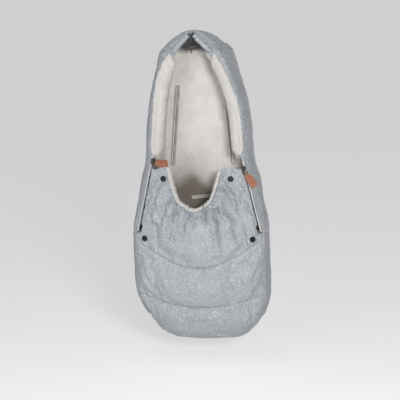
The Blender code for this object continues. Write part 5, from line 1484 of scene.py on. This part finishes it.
def finish_hardware():
    """Better materials for the CAD nodes that keep their shape."""
    finishes = {
        "zip_tape_left flap_zip_tape_left tab_zip_tape_left": zip_tape("left"),
        "zip_tape_right flap_zip_tape_right tab_zip_tape_right": zip_tape("right"),
        "slider_left slider_right bail_left bail_right": metal(
            "antique_metal", (0.060, 0.054, 0.050), 0.34, (0.30, 0.27, 0.24)
        ),
        "snap_stud_left snap_stud_right snap_socket_left snap_socket_right": metal(
            "black_snap_metal", (0.018, 0.018, 0.020), 0.46, (0.09, 0.09, 0.10)
        ),
        "leather_pull_left leather_pull_right": pull_leather(),
        "hanging_strap": woven("strap_webbing", (0.245, 0.285, 0.335), 420.0, 0.0003),
        "blank_patch": woven("patch_twill", (0.420, 0.450, 0.468), 620.0, 0.00012),
        "cord_lock_barrel cord_lock_plunger": moulded("lock_plastic", (0.034, 0.025, 0.030)),
        "cord_lock_spring": metal("spring_steel_wire", (0.55, 0.55, 0.56), 0.26, (0.75, 0.75, 0.75)),
        "drawcord": woven("cord_braid", (0.050, 0.048, 0.052), 900.0, 0.0002, "DIAGONAL"),
    }
    for names, finish in finishes.items():
        for name in names.split():
            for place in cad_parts[name].material_slots:
                place.material = finish


# The room

BACKDROP_GLOW = 0.60
FLOOR_HALF_SIZE = 60.0
FLOOR_DROP = 0.055
FAR_TONE = (0.630, 0.626, 0.626)
LIT_MIDDLE = (0.0, -0.08, -0.33)
# Place, size, power and colour
LAMPS = {
    "key": ((0.85, -2.45, 0.25), (0.50, 0.50), 38.0, (1.0, 0.99, 0.975)),
    "fill": ((-1.20, -2.20, -0.50), (1.0, 1.0), 20.0, (0.97, 0.985, 1.0)),
    "overhead": ((-0.6, -0.6, 1.9), (1.4, 1.0), 1.5, (1.0, 1.0, 1.0)),
}


def make_room():
    """A wide pale floor below the hanging part."""
    half, height = FLOOR_HALF_SIZE, -RAIL_Z - FLOOR_DROP
    points = [(-half, -half, height), (half, -half, height), (half, half, height), (-half, half, height)]
    room = add_mesh("floor", np.array(points), [(0, 1, 2, 3)], math.radians(80))
    room.data.materials.append(backdrop("pale_floor", (0.77, 0.765, 0.765)))


def make_lamps():
    """Three soft lamps, and a dim sky that is paler where it is looked at."""
    for name, (place, size, power, colour) in LAMPS.items():
        lamp = bpy.data.lights.new(name, "AREA")
        lamp.shape = "RECTANGLE"
        lamp.size, lamp.size_y = size
        lamp.energy, lamp.color = power, colour
        made = bpy.data.objects.new(name, lamp)
        bpy.context.scene.collection.objects.link(made)
        made.location = place
        made.rotation_mode = "QUATERNION"
        made.rotation_quaternion = (Vector(place) - Vector(LIT_MIDDLE)).to_track_quat("Z", "Y")
    bpy.context.scene.world = bpy.data.worlds.new("studio")
    n = Nodes(bpy.context.scene.world)
    sky = n.plug(n.tree.nodes["Background"], {"Color": (0.93, 0.95, 1.0), "Strength": 0.23})
    far = n.add("Background", {"Color": FAR_TONE, "Strength": 1.0})
    both = n.add("MixShader", {0: n.seen(), 1: sky.outputs[0], 2: far.outputs[0]})
    n.plug(n.tree.nodes["World Output"], {"Surface": both.outputs[0]})
    bpy.context.scene.view_settings.view_transform = "Standard"


def make_camera():
    """The photograph's view: from a little above and a little to the right, with a slight roll."""
    azimuth, elevation, roll = math.radians(9.0), math.radians(9.5), math.radians(-1.2)
    distance, pixel, pixels_below = 3.0, 0.002572, 13.5
    centre = Vector((0.0, -0.07 - RAIL_SETBACK, 0.400 - RAIL_Z))
    back = Vector((
        math.sin(azimuth) * math.cos(elevation),
        -math.cos(azimuth) * math.cos(elevation),
        math.sin(elevation),
    ))
    right = Vector((math.cos(azimuth), math.sin(azimuth), 0.0))
    up = back.cross(right)
    turned_right = right * math.cos(roll) + up * math.sin(roll)
    turned_up = up * math.cos(roll) - right * math.sin(roll)
    aim = centre - turned_up * pixels_below * pixel
    camera = bpy.data.cameras.new("camera")
    camera.sensor_width = 36.0
    camera.lens = 36.0 * distance / (400 * pixel)
    made = bpy.data.objects.new("camera", camera)
    bpy.context.scene.collection.objects.link(made)
    made.location = aim + back * distance
    made.rotation_mode = "QUATERNION"
    matrix = np.array([turned_right, turned_up, back]).T
    made.rotation_quaternion = Matrix(matrix.tolist()).to_quaternion()
    bpy.context.scene.camera = made


def build():
    """Everything in the picture, in the order that the scene is made."""
    make_camera()
    fabric = speckled_fabric()
    # The rim's fleece: a little darker than the lining's cream, as painted shade; it also lines the flap and
    # tabs and rolls over the side panels' edges
    fleece = teddy_fleece("teddy_fleece", (0.640, 0.612, 0.580))
    make_walls(
        fabric,
        # side panels: the shell fabric darker, with flecks a little stronger, as painted shade
        speckled_fabric("speckled_shell_sides", (0.320, 0.341, 0.365), 1.1),
        fleece,
        # inside of the crown: near-black shell fabric with faint flecks, painted shade inside the hood
        speckled_fabric("shaded_hood_lining", (0.125, 0.128, 0.134), 0.25),
    )
    cut_slots(bpy.data.objects["back_panel"])
    make_cover(fabric)
    make_linings(
        # Fleece lining with painted shade low inside the bag
        teddy_fleece("teddy_fleece_lining", deep=True),
        # Side walls' lining: a darker copy of the fleece, painted shade on walls that face sideways
        teddy_fleece("teddy_fleece_sides", (0.500, 0.476, 0.447), deep=True),
        fleece,
    )
    make_rims(fleece, teddy_fleece("gathered_fleece_edge", (0.610, 0.595, 0.570)))
    make_casings(fabric)
    make_bindings(
        woven("binding_twill", (0.330, 0.350, 0.365), 700.0, 0.00015, "Z"),
        woven("pale_binding_twill", (0.72, 0.69, 0.65), 700.0, 0.00015, "X"),
    )
    finish_hardware()
    make_room()
    make_lamps()


build()
